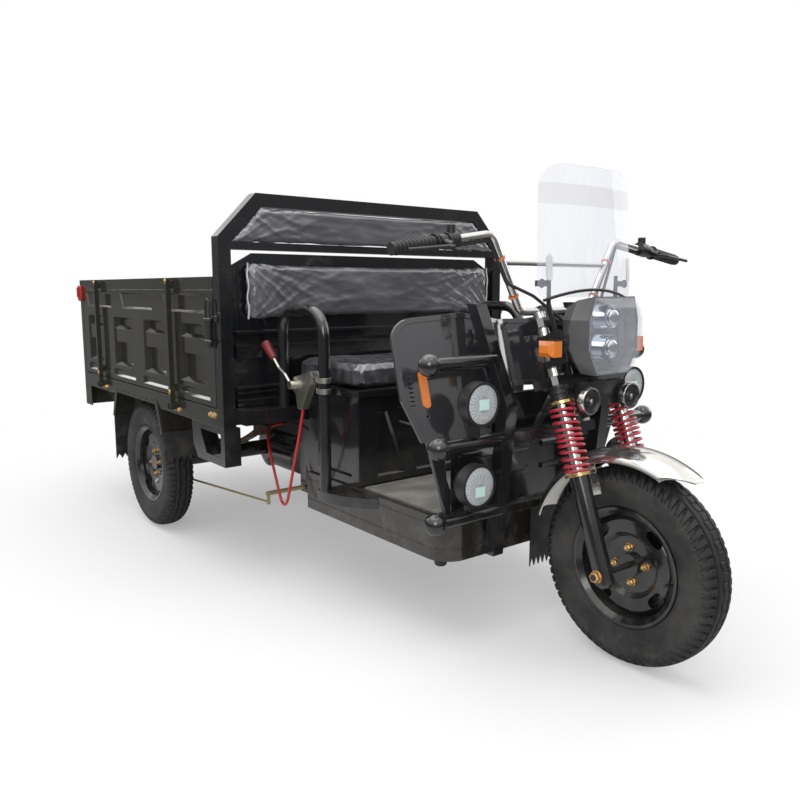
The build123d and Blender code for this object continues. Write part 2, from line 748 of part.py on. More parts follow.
def leg_shield():
    """Moulded shield with a raised border, air slots beside each reflector, and a strut down to the floor."""
    x0, x1 = 0, platform_front_x + 100
    corner_radius = 70
    half_outline = [(-shield_half + 35, shield_low_z + 10), (-shield_half, shield_top_z - 240),
                    (-shield_half, shield_top_z - 18), (-235, shield_top_z), (-60, shield_top_z - 25)]
    notch = [(0, wall_top_z + 8), (-195, wall_top_z + 8), (-195, shield_low_z), (-300, shield_low_z)]
    points = mirrored(notch + half_outline)
    face = make_face(Polyline(*[(x0, y, z) for y, z in points], close=True))
    corners = [vertex for vertex in face.vertices()
               if abs(vertex.Y) > shield_half - 1 and vertex.Z > shield_top_z - 100]
    face = fillet(corners, corner_radius)
    shell = shield_band(0, shield_thick) & extrude(face, amount=x1, dir=(1, 0, 0))
    inset = offset(face, amount=-14)
    border = shield_band(0, shield_thick + shield_border) & extrude(face, amount=x1, dir=(1, 0, 0))
    shell += border - extrude(inset, amount=x1, dir=(1, 0, 0))
    slots = capsule(-reflector_y, reflector_z - reflector_length / 2 - 24, 9, 9)
    for place in range(8):
        slots += Pos(0, -reflector_y - 34, reflector_z - 44 + 12 * place) * Box(2 * x1, 12, 4)
    shell -= both(slots)
    foot_z = platform_top_z + seat_gap
    sections = ((foot_z, 860, 322, 52), ((foot_z + shield_low_z) / 2, 858, 358, 40),
                (shield_low_z + 15, 862, 386, 66))
    faces = [Plane(origin=(x, -y, z)) * RectangleRounded(12, width, 5) for z, x, y, width in sections]
    strut = loft(faces, ruled=True)
    feet = block(wall_x - 44, wall_x - 10, 140, 160, wall_top_z + seat_gap, wall_top_z + 10)
    return shell + both(strut + feet)


def reflectors():
    """Amber reflectors on the shield."""
    near = shield_thick + seat_gap
    pair = both(capsule(-reflector_y, reflector_z, reflector_length, reflector_width))
    return shield_band(near, near + 5) & pair


bar_tubes = ((-54, 823), (-14, 606), (-25, 398))


def bumper():
    """Cranked square uprights, a cross beam and three ball-ended tubes each side."""
    s = upright_size / 2
    x_foot, x_kink, x_top = platform_front_x + s + seat_gap, platform_front_x + 65, platform_front_x - 65
    z_foot = platform_bottom_z + 5
    profile = [(x_foot - s, z_foot), (x_foot + s, z_foot), (x_kink + s, upright_kink_z),
               (x_top + s, upright_top_z), (x_top - s, upright_top_z), (x_kink - s, upright_kink_z - 8)]
    bar = prism_y(profile, upright_y - s, upright_y + s)
    for behind, z in bar_tubes:
        x = x_kink + behind
        bar += rod((x, upright_y, z), (x, ball_y, z), bumper_tube)
        bar += Pos(x, ball_y, z) * Sphere(ball_radius)
    beam = block(x_kink - 30, x_kink + 2, -upright_y, upright_y, 590, 622)
    return both(bar) + beam


lamp_places = ((platform_front_x + 92, 718, 625), (platform_front_x + 82, 492, 417))
lamp_depth = 50
bezel = 7


def spot_lamps():
    """Round lamp bodies with a bezel and cooling step, on brackets over the bumper's tubes."""
    lamps = None
    for x, z, foot in lamp_places:
        front = x - 5
        profile = [(0, 0), (0, lamp_radius - 16), (14, lamp_radius - 6), (22, lamp_radius - 3),
                   (24, lamp_radius), (lamp_depth, lamp_radius), (lamp_depth, 0)]
        face = make_face(Polyline(*[(along, radius, 0) for along, radius in profile], close=True))
        body = Pos(front - lamp_depth, lamp_y, z) * revolve(face, axis=Axis.X)
        ring = disc_x(front, x + 3, lamp_y, z, lamp_radius)
        ring -= disc_x(front - 1, x + 4, lamp_y, z, lamp_radius - bezel + seat_gap)
        body += ring + block(front - 45, front - 15, lamp_y - 10, lamp_y + 10, foot, z)
        lamps = body if lamps is None else lamps + body
    return both(lamps)


def spot_lenses():
    """Clear domed lenses of the spot lamps."""
    lenses = None
    for x, z, foot in lamp_places:
        rim_radius = lamp_radius - bezel
        profile = [(seat_gap, 0), (seat_gap, rim_radius), (5, rim_radius), (9, rim_radius - 14), (11, 0)]
        face = make_face(Polyline(*[(along, radius, 0) for along, radius in profile], close=True))
        lens = Pos(x - 5, lamp_y, z) * revolve(face, axis=Axis.X)
        lenses = lens if lenses is None else lenses + lens
    return both(lenses)


# Steering
def steering_stem():
    """Stem with the lower and upper yokes that clamp the fork tubes, and the handlebar's clamps."""
    stem = Pos(-fork_offset, 0, (lower_yoke + upper_yoke + fork_offset) / 2) \
        * Cylinder(stem_radius, upper_yoke - lower_yoke + fork_offset)
    for z in (lower_yoke, upper_yoke):
        yoke = block(-fork_offset - 30, 22, -fork_half - 28, fork_half + 28, z, z + yoke_thick)
        yoke = chamfer(yoke.edges().filter_by(Axis.Z), 12)
        for side in (-1, 1):
            yoke -= Pos(0, side * fork_half, z) * Cylinder(fork_tube, 4 * yoke_thick)
        stem += yoke
    clamp = block(-bar_back - 14, -bar_back + 14, 45, 75,
                  upper_yoke + yoke_thick, upper_yoke + bar_rise + 14)
    stem = steered(stem + both(clamp))
    return stem - rod((bar_x, -100, bar_low_z), (bar_x, 100, bar_low_z), bar_radius + seat_gap)


def fork_tubes():
    """Chrome upper tubes."""
    tube = Pos(0, fork_half, (spring_low + fork_top) / 2) * Cylinder(fork_tube, fork_top - spring_low)
    return steered(both(tube))


def fork_springs():
    """Open coil springs round the tubes, each between two seat rings."""
    height = spring_high - spring_low
    seat = 8
    coil_height = height - 2 * seat - spring_wire
    path = Helix(pitch=coil_height / spring_turns, height=coil_height, radius=spring_mean_radius)
    wire = Plane(origin=path @ 0, z_dir=path % 0) * RegularPolygon(spring_wire, 6)
    spring = Pos(0, 0, spring_low + seat + spring_wire / 2) * sweep(wire, path=path, is_frenet=True)
    outer, inner = spring_mean_radius + spring_wire, fork_tube + seat_gap
    for z in (spring_low + seat / 2, spring_high - seat / 2):
        spring += Pos(0, 0, z) * (Cylinder(outer, seat) - Cylinder(inner, 2 * seat))
    return steered(both(Pos(0, fork_half, 0) * spring))


def fork_legs():
    """Lower legs with axle lugs."""
    lug = 35
    leg = Pos(0, fork_half, (spring_low - lug) / 2) * Cylinder(fork_leg, spring_low + lug)
    leg = chamfer(leg.edges().group_by(Axis.Z)[0], 10)
    leg -= Pos(0, fork_half, 0) * Rot(90, 0, 0) * Cylinder(front_axle_radius, 100)
    return steered(both(leg))


def front_axle():
    """Axle bolt through the legs and the hub."""
    half = fork_half + fork_leg + 18
    return Pos(front_axle_x, 0, tyre_radius) * Rot(90, 0, 0) * Cylinder(front_axle_radius, 2 * half)


def front_fender():
    """Crowned arc over the front tyre, its nose rounded to a beak, on a stay inside each leg."""
    crown = ((0, 0), (24, 3), (48, 12), (64, 24), (fender_half, 38))
    top = [(y, fender_radius - drop) for y, drop in crown]
    under = [(y - (fender_sheet if y > 60 else 0), radius - fender_sheet) for y, radius in reversed(top)]
    outer_line = [(-y, radius) for y, radius in reversed(top[1:])] + top
    inner_line = under + [(-y, radius) for y, radius in reversed(under[:-1])]
    outer_edge, inner_edge = [Spline(*[(0, y, radius) for y, radius in line])
                              for line in (outer_line, inner_line)]
    rims = [Line(outer_edge @ 1, inner_edge @ 0), Line(inner_edge @ 1, outer_edge @ 0)]
    profile = make_face([outer_edge.edge(), rims[0].edge(), inner_edge.edge(), rims[1].edge()])
    profile = Rot(0, 90 - fender_front_angle, 0) * profile
    arc = revolve(profile, axis=Axis.Y, revolution_arc=-(fender_rear_angle - fender_front_angle))
    tip_x = fender_radius * math.cos(math.radians(fender_front_angle)) + 14
    nose_x = tip_x - 100
    edge = fender_half + 2
    nose = [ThreePointArc((nose_x, -edge, 0), (tip_x - 34, -edge / 2, 0), (tip_x, 0, 0)).edge(),
            ThreePointArc((tip_x, 0, 0), (tip_x - 34, edge / 2, 0), (nose_x, edge, 0)).edge()]
    back = Polyline((nose_x, edge, 0), (-fender_radius - 20, edge, 0), (-fender_radius - 20, -edge, 0),
                    (nose_x, -edge, 0))
    plan = extrude(make_face(Wire(nose + back.edges())), amount=2 * fender_radius, dir=(0, 0, 1))
    fender = Pos(front_axle_x, 0, tyre_radius) * (arc & plan)
    stay_half, sheet = 14, 3.5
    outer_y = fork_half - fork_leg - seat_gap
    stay = block(-stay_half, stay_half, fender_half - 4, fender_half - 4 + sheet,
                 spring_low - 60, fender_radius - 34)
    stay += block(-stay_half, stay_half, fender_half - 4, outer_y, spring_low - 28, spring_low - 2)
    return fender + steered(both(stay))


def handlebar():
    """High-rise bar with a cross brace."""
    corner_y = 150
    path = [(bar_x, -bar_end_y, bar_end_z), (bar_x, -bar_bend_y, bar_high_z), (bar_x, -corner_y, bar_low_z),
            (bar_x, corner_y, bar_low_z), (bar_x, bar_bend_y, bar_high_z), (bar_x, bar_end_y, bar_end_z)]
    brace_z = bar_low_z + 135
    brace_y = corner_y + (bar_bend_y - corner_y) * (brace_z - bar_low_z) / (bar_high_z - bar_low_z)
    return bent_tube(path, bar_radius, 35) + rod((bar_x, -brace_y, brace_z), (bar_x, brace_y, brace_z), 7)


def bar_point(y):
    """A point on the axis of the bar's end run."""
    return Vector(bar_x, -y, bar_z(y))


def bar_grips():
    """Ribbed rubber grips over the bar's ends, with a flange at the inner end."""
    inner_y, outer_y = 462, bar_end_y + 4
    grip = rod(bar_point(inner_y), bar_point(outer_y), grip_radius)
    grip += rod(bar_point(inner_y), bar_point(inner_y + 5), grip_radius + 6)
    for rib in range(10):
        y = inner_y + 14 + 12 * rib
        grip += rod(bar_point(y), bar_point(y + 6), grip_radius + 1.5)
    return both(grip - rod(bar_point(inner_y - 1), bar_point(bar_end_y + 0.5), bar_radius + 0.2))


def bar_controls():
    """Switch blocks with a mirror boss and a brake lever on its perch."""
    start, end = 392, 452
    pod = rod(bar_point(start), bar_point(start + 36), 21) + rod(bar_point(start + 38), bar_point(end), 18)
    pod += rod(bar_point(start + 30), bar_point(end - 4), 16)
    boss_y = start + 18
    pod += rod(Vector(bar_x, -boss_y, bar_z(boss_y)), Vector(bar_x, -boss_y, bar_z(boss_y) + 38), 12)
    perch_y = end - 12
    pod += rod(bar_point(perch_y), bar_point(perch_y) + Vector(44, 0, -12), 10)
    lever = FilletPolyline((bar_x + 38, -perch_y + 8, bar_z(perch_y) - 12),
                           (bar_x + 58, -perch_y - 26, bar_z(perch_y) - 16),
                           (bar_x + 50, -perch_y - 150, bar_z(perch_y) - 28), radius=18)
    pod += sweep(Plane(origin=lever @ 0, z_dir=lever % 0) * Circle(5), path=lever)
    return both(pod - rod(bar_point(start - 5), bar_point(end + 10), bar_radius + 0.2))


def bar_cables():
    """Brake cables clipped under the bar and led into the headlight's rear."""
    radius = 4.5
    under = bar_radius + radius + seat_gap
    end_x, end_z = lamp_rear_x - seat_gap, bar_low_z - 20
    points = [(bar_x, -385, bar_z(385) - under), (bar_x, -bar_bend_y - 9, bar_high_z - under - 1.5),
              (bar_x + 10, -216, bar_low_z + 80), (bar_x + 50, -150, bar_low_z + 45),
              (end_x - 32, -76, end_z), (end_x, -76, end_z)]
    return both(bent_tube(points, radius, 20))


def lamp_section(x, half_top, half_mid, half_low, top, mid, low):
    """Eight-sided section of the headlight at one X."""
    cheek = 40
    points = mirrored([(-half_top, top), (-half_mid, mid + cheek), (-half_mid, mid - cheek),
                       (-half_low, low)])
    return make_face(Polyline(*[(x, y, z) for y, z in points], close=True))


def headlight_shell():
    """Faceted lamp housing, hollow behind its lens."""
    top, low = lamp_mid_z + 102, lamp_mid_z - 110
    waist_x = lamp_rear_x + 45
    sections = [lamp_section(lamp_rear_x, 96, 112, 70, top - 32, lamp_mid_z, low + 34),
                lamp_section(waist_x, 108, 135, 84, top - 10, lamp_mid_z, low + 4),
                lamp_section(lamp_front_x, 88, 108, 70, top, lamp_mid_z, low)]
    shell = loft(sections, ruled=True)
    hollow = loft([lamp_section(lamp_front_x - 32, 80, 99, 62, top - 8, lamp_mid_z, low + 10),
                   lamp_section(lamp_front_x + 1, 83, 103, 65, top - 5, lamp_mid_z, low + 5)], ruled=True)
    inner = 104
    boss = Pos(lamp_rear_x + 20, (inner + fork_half + fork_tube) / 2, lamp_mid_z - 20) * Rot(90, 0, 0) \
        * Cylinder(9, fork_half + fork_tube - inner)
    return shell + both(boss) - hollow


def headlight_lens():
    """Clear faceted lens over the lamps."""
    top, low = lamp_mid_z + 102, lamp_mid_z - 110
    solid = []
    for wall in (0, 3):
        near = lamp_section(lamp_front_x + seat_gap - wall / 10, 86 - wall, 106 - wall, 68 - wall,
                            top - 2 - wall, lamp_mid_z, low + 2 + wall)
        far = lamp_section(lamp_front_x + 38 - wall, 60 - wall, 76 - wall, 44 - wall, top - 28 - wall,
                           lamp_mid_z, low + 24 + wall)
        solid.append(loft([near, far], ruled=True))
    return solid[0] - solid[1]


def headlight_lamps():
    """Two projector lamps on a back plate inside the housing."""
    back = lamp_front_x - 32 + seat_gap
    lamps = block(back, back + 4, -58, 58, lamp_mid_z - 78, lamp_mid_z + 84)
    for z in (lamp_mid_z + 46, lamp_mid_z - 36):
        profile = [(0, 0), (0, 34), (26, 34), (26, 28), (20, 25), (28, 14), (30, 0)]
        face = make_face(Polyline(*[(along, radius, 0) for along, radius in profile], close=True))
        lamps += Pos(back, 0, z) * revolve(face, axis=Axis.X)
    return lamps


def headlight_ears():
    """Clamps round the fork tubes with plates that carry the headlight, indicators and screen."""
    y0 = fork_half + fork_tube + 0.4
    y1 = y0 + 4.6
    clamp_low, clamp_high = lower_yoke + 60, upper_yoke - 35
    ear = None
    for z in (clamp_low, clamp_high):
        ring = Pos(0, fork_half, z) * (Cylinder(fork_tube + 6, 20) - Cylinder(fork_tube + 0.2, 30))
        ear = ring if ear is None else ear + ring
        ear += block(0, 25, y0, y1, z - 10, z + 10)
    ear = steered(ear + block(20, 75, y0, y1, clamp_low - 10, clamp_high + 10))
    x = lamp_rear_x
    head = screen_low_z + 60
    arm = [(x + 2, 870), (x + 14, 870), (x + 14, 905), (x - 16, 985), (x - 18, head), (x - 28, head),
           (x - 28, 970), (x + 2, 900)]
    ear += prism_y(arm, y0, y1)
    ear += block(x - 28, x - 18.4, y0, screen_half - 7, head - 31, head - 15)
    ear += disc_x(x - 18.5, x - 16.2, 180, head - 23, 12)
    x, z, base = lamp_rear_x + 18, indicator_z, 22
    ear += block(x - base, x + base, y1, y1 + 16, z - base, z + base)
    return both(ear)


def indicator_lenses():
    """Amber indicator lenses."""
    x, z = lamp_rear_x + 18, indicator_z
    y = fork_half + fork_tube + 21 + seat_gap
    lens = block(x - 27, x + 27, y, y + 42, z - 21, z + 21)
    return both(chamfer(lens.faces().sort_by(Axis.Y)[-1].edges(), 11))


def horns():
    """Two disc horns, each a dished front in a rolled ring, on a plate under the headlight."""
    x = leg_x(horn_z) + 42
    sheet = 3
    plate = block(x, x + sheet, -100, 100, horn_z - 22, horn_z + 46)
    plate += block(leg_x(horn_z + 46) + 25, x + sheet, -30, 30, horn_z + 42, horn_z + 46)
    profile = [(0, 0), (0, 26), (20, 28), (24, horn_radius), (32, horn_radius), (34, horn_radius - 4),
               (27, horn_radius - 8), (24, 16), (29, 12), (26, 8), (30, 5), (30, 0)]
    face = make_face(Polyline(*[(along, radius, 0) for along, radius in profile], close=True))
    horn = Pos(x + sheet, 89, horn_z) * revolve(face, axis=Axis.X)
    return plate + both(horn)


def screen_band(near, far):
    """Curved upright sheet that leans back, between two distances ahead of its rear face."""
    sag, lean = 30, 20
    z0, rise = screen_low_z, screen_top_z - screen_low_z
    rear_x = screen_x - screen_sheet
    front, back = [ThreePointArc((rear_x - sag + ahead, -screen_half, z0), (rear_x + ahead, 0, z0),
                                 (rear_x - sag + ahead, screen_half, z0)) for ahead in (far, near)]
    ends = [Line(front @ 1, back @ 1).edge(), Line(back @ 0, front @ 0).edge()]
    wire = Wire([front.edge(), ends[0], back.edge(), ends[1]])
    return extrude(Face(wire), amount=math.hypot(rise, lean), dir=(-lean, 0, rise))


def windscreen():
    """Curved clear screen, narrower at its rounded top, with an oval boss at each side."""
    z0, taper, top_radius, foot_radius = screen_low_z, 12, 75, 25
    half = screen_half - 1
    corners = mirrored([(-half, z0), (-half + taper, screen_top_z)])
    outline = make_face(Polyline(*[(0, y, z) for y, z in corners], close=True))
    outline = fillet(outline.vertices().group_by(Axis.Z)[-1], top_radius)
    outline = fillet(outline.vertices().group_by(Axis.Z)[0], foot_radius)
    screen = screen_band(0, screen_sheet) & extrude(outline, amount=2 * wheelbase, dir=(1, 0, 0))
    bosses = screen_band(0, screen_sheet + 5) & both(capsule(-170, z0 + 78, 76, 26))
    return screen + bosses


def front_flap():
    """Rubber flap with a toothed edge, hung from the fender's rear tip."""
    angle = math.radians(fender_rear_angle)
    x = front_axle_x + fender_radius * math.cos(angle)
    z = tyre_radius + fender_radius * math.sin(angle)
    half, drop, tooth_depth, teeth = 58, 185, 30, 6
    points = [(-half, 0), (half, 0), (half, -drop)]
    for tooth in range(teeth):
        points.append((half - (tooth + 0.5) * 2 * half / teeth, tooth_depth - drop))
        points.append((half - (tooth + 1) * 2 * half / teeth, -drop))
    flap = prism_x([(y, z + dz) for y, dz in points], x - 8, x - 4)
    tab = 12
    flap += block(x - 8, x - seat_gap, -tab, tab, z + 1, z + tab)
    return flap + block(x - 8, x - 4, -tab, tab, z - tab, z + tab)


# Parking brake
def handbrake_bracket():
    """Pressed bracket clamped to the right hoop, with its pivot boss."""
    x = arm_front_x - arm_tube
    outer, inner, sheet = -arm_y - 32, -arm_y - 8, 3
    plate = [(x - 118, 735), (x - 12, 762), (x - 3, 745), (x - 72, 632), (x - 96, 632), (x - 108, 680),
             (x - 136, 702)]
    bracket = prism_y(plate, outer, outer + sheet) + prism_y(plate, inner, inner + sheet)
    web = [(x - 12, 762), (x - 3, 745), (x - 72, 632), (x - 80, 632), (x - 11, 744), (x - 18, 758)]
    bracket += prism_y(web, outer, inner + sheet)
    for z in (700, 735):
        clamp = Cylinder(arm_tube + 4, 16) - Cylinder(arm_tube + seat_gap, 20)
        bracket += Pos(arm_front_x, -arm_y, z) * clamp
        bracket += block(x - 12, x - 2, -arm_y - 12, -arm_y - 5, z - 8, z + 8)
    bracket += Pos(x - 114, -arm_y - 18, 710) * Rot(90, 0, 0) * Cylinder(13, 44)
    return bracket


lever_y = -arm_y - 46
lever_end = Vector(arm_front_x - arm_tube - 225, lever_y, 790)


def handbrake_lever():
    """Cranked rod that rises from the bracket's boss."""
    x = arm_front_x - arm_tube
    path = [(x - 114, lever_y, 712), (x - 150, lever_y, 742), (x - 190, lever_y, 760), tuple(lever_end)]
    lever = bent_tube(path, 5, 18)
    lever += Pos(x - 114, lever_y, 710) * Rot(90, 0, 0) * Cylinder(14, 11)
    return lever


def handbrake_grip():
    """Tapered grip on the lever's end."""
    along = Vector(-35, 0, 30).normalized()
    plane = Plane(origin=lever_end + along * seat_gap, z_dir=along)
    return plane * Cone(11, 17, 70, align=(Align.CENTER, Align.CENTER, Align.MIN))


def brake_cable():
    """Red parking cable looped from the bracket to the frame rail."""
    path = [(arm_front_x - 104, -465, 631), (arm_front_x - 128, -463, 556), (arm_front_x - 176, -460, 440),
            (arm_front_x - 215, -456, 345), (arm_front_x - 250, -452, 268), (arm_front_x - 292, -450, 268),
            (arm_front_x - 330, -447, 345), (arm_front_x - 385, -440, 430), (arm_front_x - 450, -415, 490),
            (arm_front_x - 500, -380, 512), (arm_front_x - 500, -rail_y - rail_width / 2 - seat_gap, 512)]
    return bent_tube(path, 5, 16)


def brake_linkage():
    """Cross shaft under the step of the frame with a rod to each rear brake."""
    end = brake_y + 6
    shaft = rod((brake_shaft_x, -end, brake_shaft_z), (brake_shaft_x, end, brake_shaft_z), brake_shaft_radius)
    arm = block(brake_shaft_x - 7, brake_shaft_x + 7, brake_y - 6, brake_y + 2,
                brake_shaft_z - 40, brake_shaft_z)
    pull = rod((brake_shaft_x, brake_y - 2, brake_shaft_z - 32), (rear_axle_x + 70 + seat_gap, brake_y, 197),
               brake_rod_radius)
    return shaft + both(arm + pull)


# Guards, steps and rear lamps
def mudguards():
    """Sheet arches over the rear wheels with a punched outer strip."""
    y0, y1 = arch_inner_y + 2, bed_half_width - 2
    sheet, strip_width, foot_z = 3, 26, 446
    x, top = rear_axle_x, arch_z - seat_gap
    outer = [(x - 324, foot_z), (x - 270, top), (x + 236, top), (x + 284, foot_z)]
    inner = [(x + 281, foot_z), (x + 233.5, top - sheet), (x - 267.5, top - sheet), (x - 321, foot_z)]
    guard = prism_y(outer + inner, y0, y1)
    edge = [(x + 262, foot_z), (x + 216, top - strip_width), (x - 250, top - strip_width), (x - 302, foot_z)]
    guard += prism_y(outer + edge, y1 - sheet, y1)
    for hole in range(7):
        guard -= Pos(x - 234 + 72 * hole, y1, top - strip_width / 2) * Rot(90, 0, 0) * Cylinder(5, 4 * sheet)
    return both(guard)


def mud_flaps():
    """Toothed rubber flaps behind and ahead of the rear wheels."""
    flaps = None
    y0, y1 = arch_inner_y + 4, bed_half_width - 8
    high, tooth_depth, teeth, sheet = 456, 22, 6, 4
    for x, low, side in ((rear_axle_x - 324, 240, -1), (rear_axle_x + 284, 330, 1)):
        points = [(y0, high), (y1, high), (y1, low)]
        for tooth in range(teeth):
            points.append((y1 - (tooth + 0.5) * (y1 - y0) / teeth, low + tooth_depth))
            points.append((y1 - (tooth + 1) * (y1 - y0) / teeth, low))
        near, far = x + side * seat_gap, x + side * (seat_gap + sheet)
        flap = prism_x(points, min(near, far), max(near, far))
        flaps = flap if flaps is None else flaps + flap
    return both(flaps)


def step_brackets():
    """Box brackets with a triangular window under the bed's front corners."""
    x1 = hoop_front_x
    y0, y1, wall, low = bed_half_width - 60, bed_half_width, 4, 420
    outer = [(x1 - 270, beam_bottom_z), (x1, beam_bottom_z), (x1, low), (x1 - 225, low), (x1 - 262, low + 50)]
    inner = [(x1 - 264, beam_bottom_z), (x1 - wall, beam_bottom_z), (x1 - wall, low), (x1 - 221, low),
             (x1 - 256, low + 50)]
    window = [(x1 - 200, beam_bottom_z - 22), (x1 - 30, beam_bottom_z - 22),
              (x1 - 30, low + 28), (x1 - 150, low + 28)]
    bracket = prism_y(outer, y0, y1) - prism_y(inner, y0 + wall, y1 - wall)
    return both(bracket - prism_y(window, y0 - 1, y1 + 1))


def tail_lamps():
    """Three-chamber rear lamps, parted by two grooves."""
    inner_y, outer_y = bed_half_width - 210, bed_half_width - 50
    low, high = beam_bottom_z - 83, beam_bottom_z - 18
    chamber = (outer_y - inner_y) / 3
    lamp = block(bed_rear_x - 2, bed_rear_x + 24.7, inner_y, outer_y, low, high)
    for y in (inner_y + chamber, outer_y - chamber):
        lamp -= block(bed_rear_x - 3, bed_rear_x + 4, y - 2, y + 2, low - 1, high + 1)
    return both(lamp)


nodes = {
    "chassis_frame": chassis_frame(),
    "steering_neck": steering_neck(),
    "rear_axle": rear_axle(),
    "drive_motor": drive_motor(),
    "leaf_springs": leaf_springs(),
    "bed_frame": bed_beams() + bed_posts() + rear_bar() + side_hinges() + rear_hinges(),
    "bed_floor": bed_floor(),
    "headboard_frame": headboard_frame(),
    "headboard": headboard(),
    "back_cushion": back_cushion(),
    "headrest_cushion": headrest_cushion(),
    "platform": platform(),
    "floor_mat": floor_mat(),
    "front_wall": front_wall(),
    "seat_box": seat_box(),
    "battery_pack": battery_pack(),
    "seat_pan": seat_pan(),
    "seat_cushion": seat_cushion(),
    "armrest_hoops": armrest_hoops(),
    "leg_shield": leg_shield(),
    "reflectors": reflectors(),
    "bumper": bumper(),
    "spot_lamps": spot_lamps(),
    "spot_lenses": spot_lenses(),
    "steering_stem": steering_stem(),
    "fork_tubes": fork_tubes(),
    "fork_springs": fork_springs(),
    "fork_legs": fork_legs(),
    "front_axle": front_axle(),
    "front_fender": front_fender(),
    "front_flap": front_flap(),
    "handlebar": handlebar(),
    "bar_grips": bar_grips(),
    "bar_controls": bar_controls(),
    "bar_cables": bar_cables(),
    "headlight_shell": headlight_shell(),
    "headlight_lens": headlight_lens(),
    "headlight_lamps": headlight_lamps(),
    "headlight_ears": headlight_ears(),
    "indicator_lenses": indicator_lenses(),
    "horns": horns(),
    "windscreen": windscreen(),
    "handbrake": handbrake_bracket() + handbrake_lever(),
    "handbrake_grip": handbrake_grip(),
    "brake_cable": brake_cable(),
    "brake_linkage": brake_linkage(),
    "mudguards": mudguards(),
    "mud_flaps": mud_flaps(),
    "step_brackets": step_brackets(),
    "tail_lamps": tail_lamps(),
    "side_gate_left": side_gate(1),
    "side_gate_right": side_gate(-1),
    "tailgate": tailgate(),
    "front_tyre": tyre(front_axle_x, 0),
    "front_rim": rim(front_axle_x, 0, front_axle_radius + running_gap, -1),
    "rear_left_tyre": tyre(rear_axle_x, rear_wheel_y),
    "rear_left_rim": rim(rear_axle_x, rear_wheel_y, rear_axle_radius + running_gap, 1),
    "rear_right_tyre": tyre(rear_axle_x, -rear_wheel_y),
    "rear_right_rim": rim(rear_axle_x, -rear_wheel_y, rear_axle_radius + running_gap, -1),
}

os.makedirs("parts", exist_ok=True)
for name, shape in nodes.items():
    export_step(shape, os.path.join("parts", name + ".step"))
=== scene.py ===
"""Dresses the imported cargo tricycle: studio, finishes, tyres, seats, springs, cables, lamps and fasteners."""
import logging
import math
from dataclasses import dataclass
from enum import Enum

import bmesh
import bpy
import numpy as np
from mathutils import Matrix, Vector


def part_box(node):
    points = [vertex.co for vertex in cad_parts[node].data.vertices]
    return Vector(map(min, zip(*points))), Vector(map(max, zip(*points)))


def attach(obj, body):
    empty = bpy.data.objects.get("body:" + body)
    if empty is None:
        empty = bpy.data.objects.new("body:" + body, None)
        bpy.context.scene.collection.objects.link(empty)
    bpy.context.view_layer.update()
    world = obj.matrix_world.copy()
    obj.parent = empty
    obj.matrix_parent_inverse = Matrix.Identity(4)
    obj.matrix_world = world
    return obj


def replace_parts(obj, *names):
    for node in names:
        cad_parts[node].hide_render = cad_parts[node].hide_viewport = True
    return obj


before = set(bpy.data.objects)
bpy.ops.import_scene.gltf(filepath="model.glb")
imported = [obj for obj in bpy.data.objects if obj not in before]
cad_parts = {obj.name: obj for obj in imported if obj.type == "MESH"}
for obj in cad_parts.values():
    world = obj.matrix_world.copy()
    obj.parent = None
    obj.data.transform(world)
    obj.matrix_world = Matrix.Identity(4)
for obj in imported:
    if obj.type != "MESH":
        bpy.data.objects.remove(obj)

log = logging.getLogger("tricycle")

Colour = tuple[float, float, float]
Point = tuple[float, float, float]

DUST: Colour = (0.20, 0.18, 0.15)
WHITE = (1.0, 1.0, 1.0, 1.0)
NO_STRETCH: Point = (1.0, 1.0, 1.0)
FRONT_AXLE: Point = (1.247, 0.0, 0.275)
REAR_AXLE_X = -0.778
REAR_WHEEL_Y = 0.563
TYRE_RADIUS = 0.275
RAKE = math.radians(20.0)
BED_HALF_WIDTH = 0.650
HINGE_BAR_X: tuple[float, float] = (-1.188, -0.323)


class Side(Enum):
    """Sides of the tricycle, as the sign of Y."""

    LEFT = 1
    RIGHT = -1


class Axis(Enum):
    """Directions that round pieces are turned about."""

    X = (1.0, 0.0, 0.0)
    Y = (0.0, 1.0, 0.0)
    Z = (0.0, 0.0, 1.0)


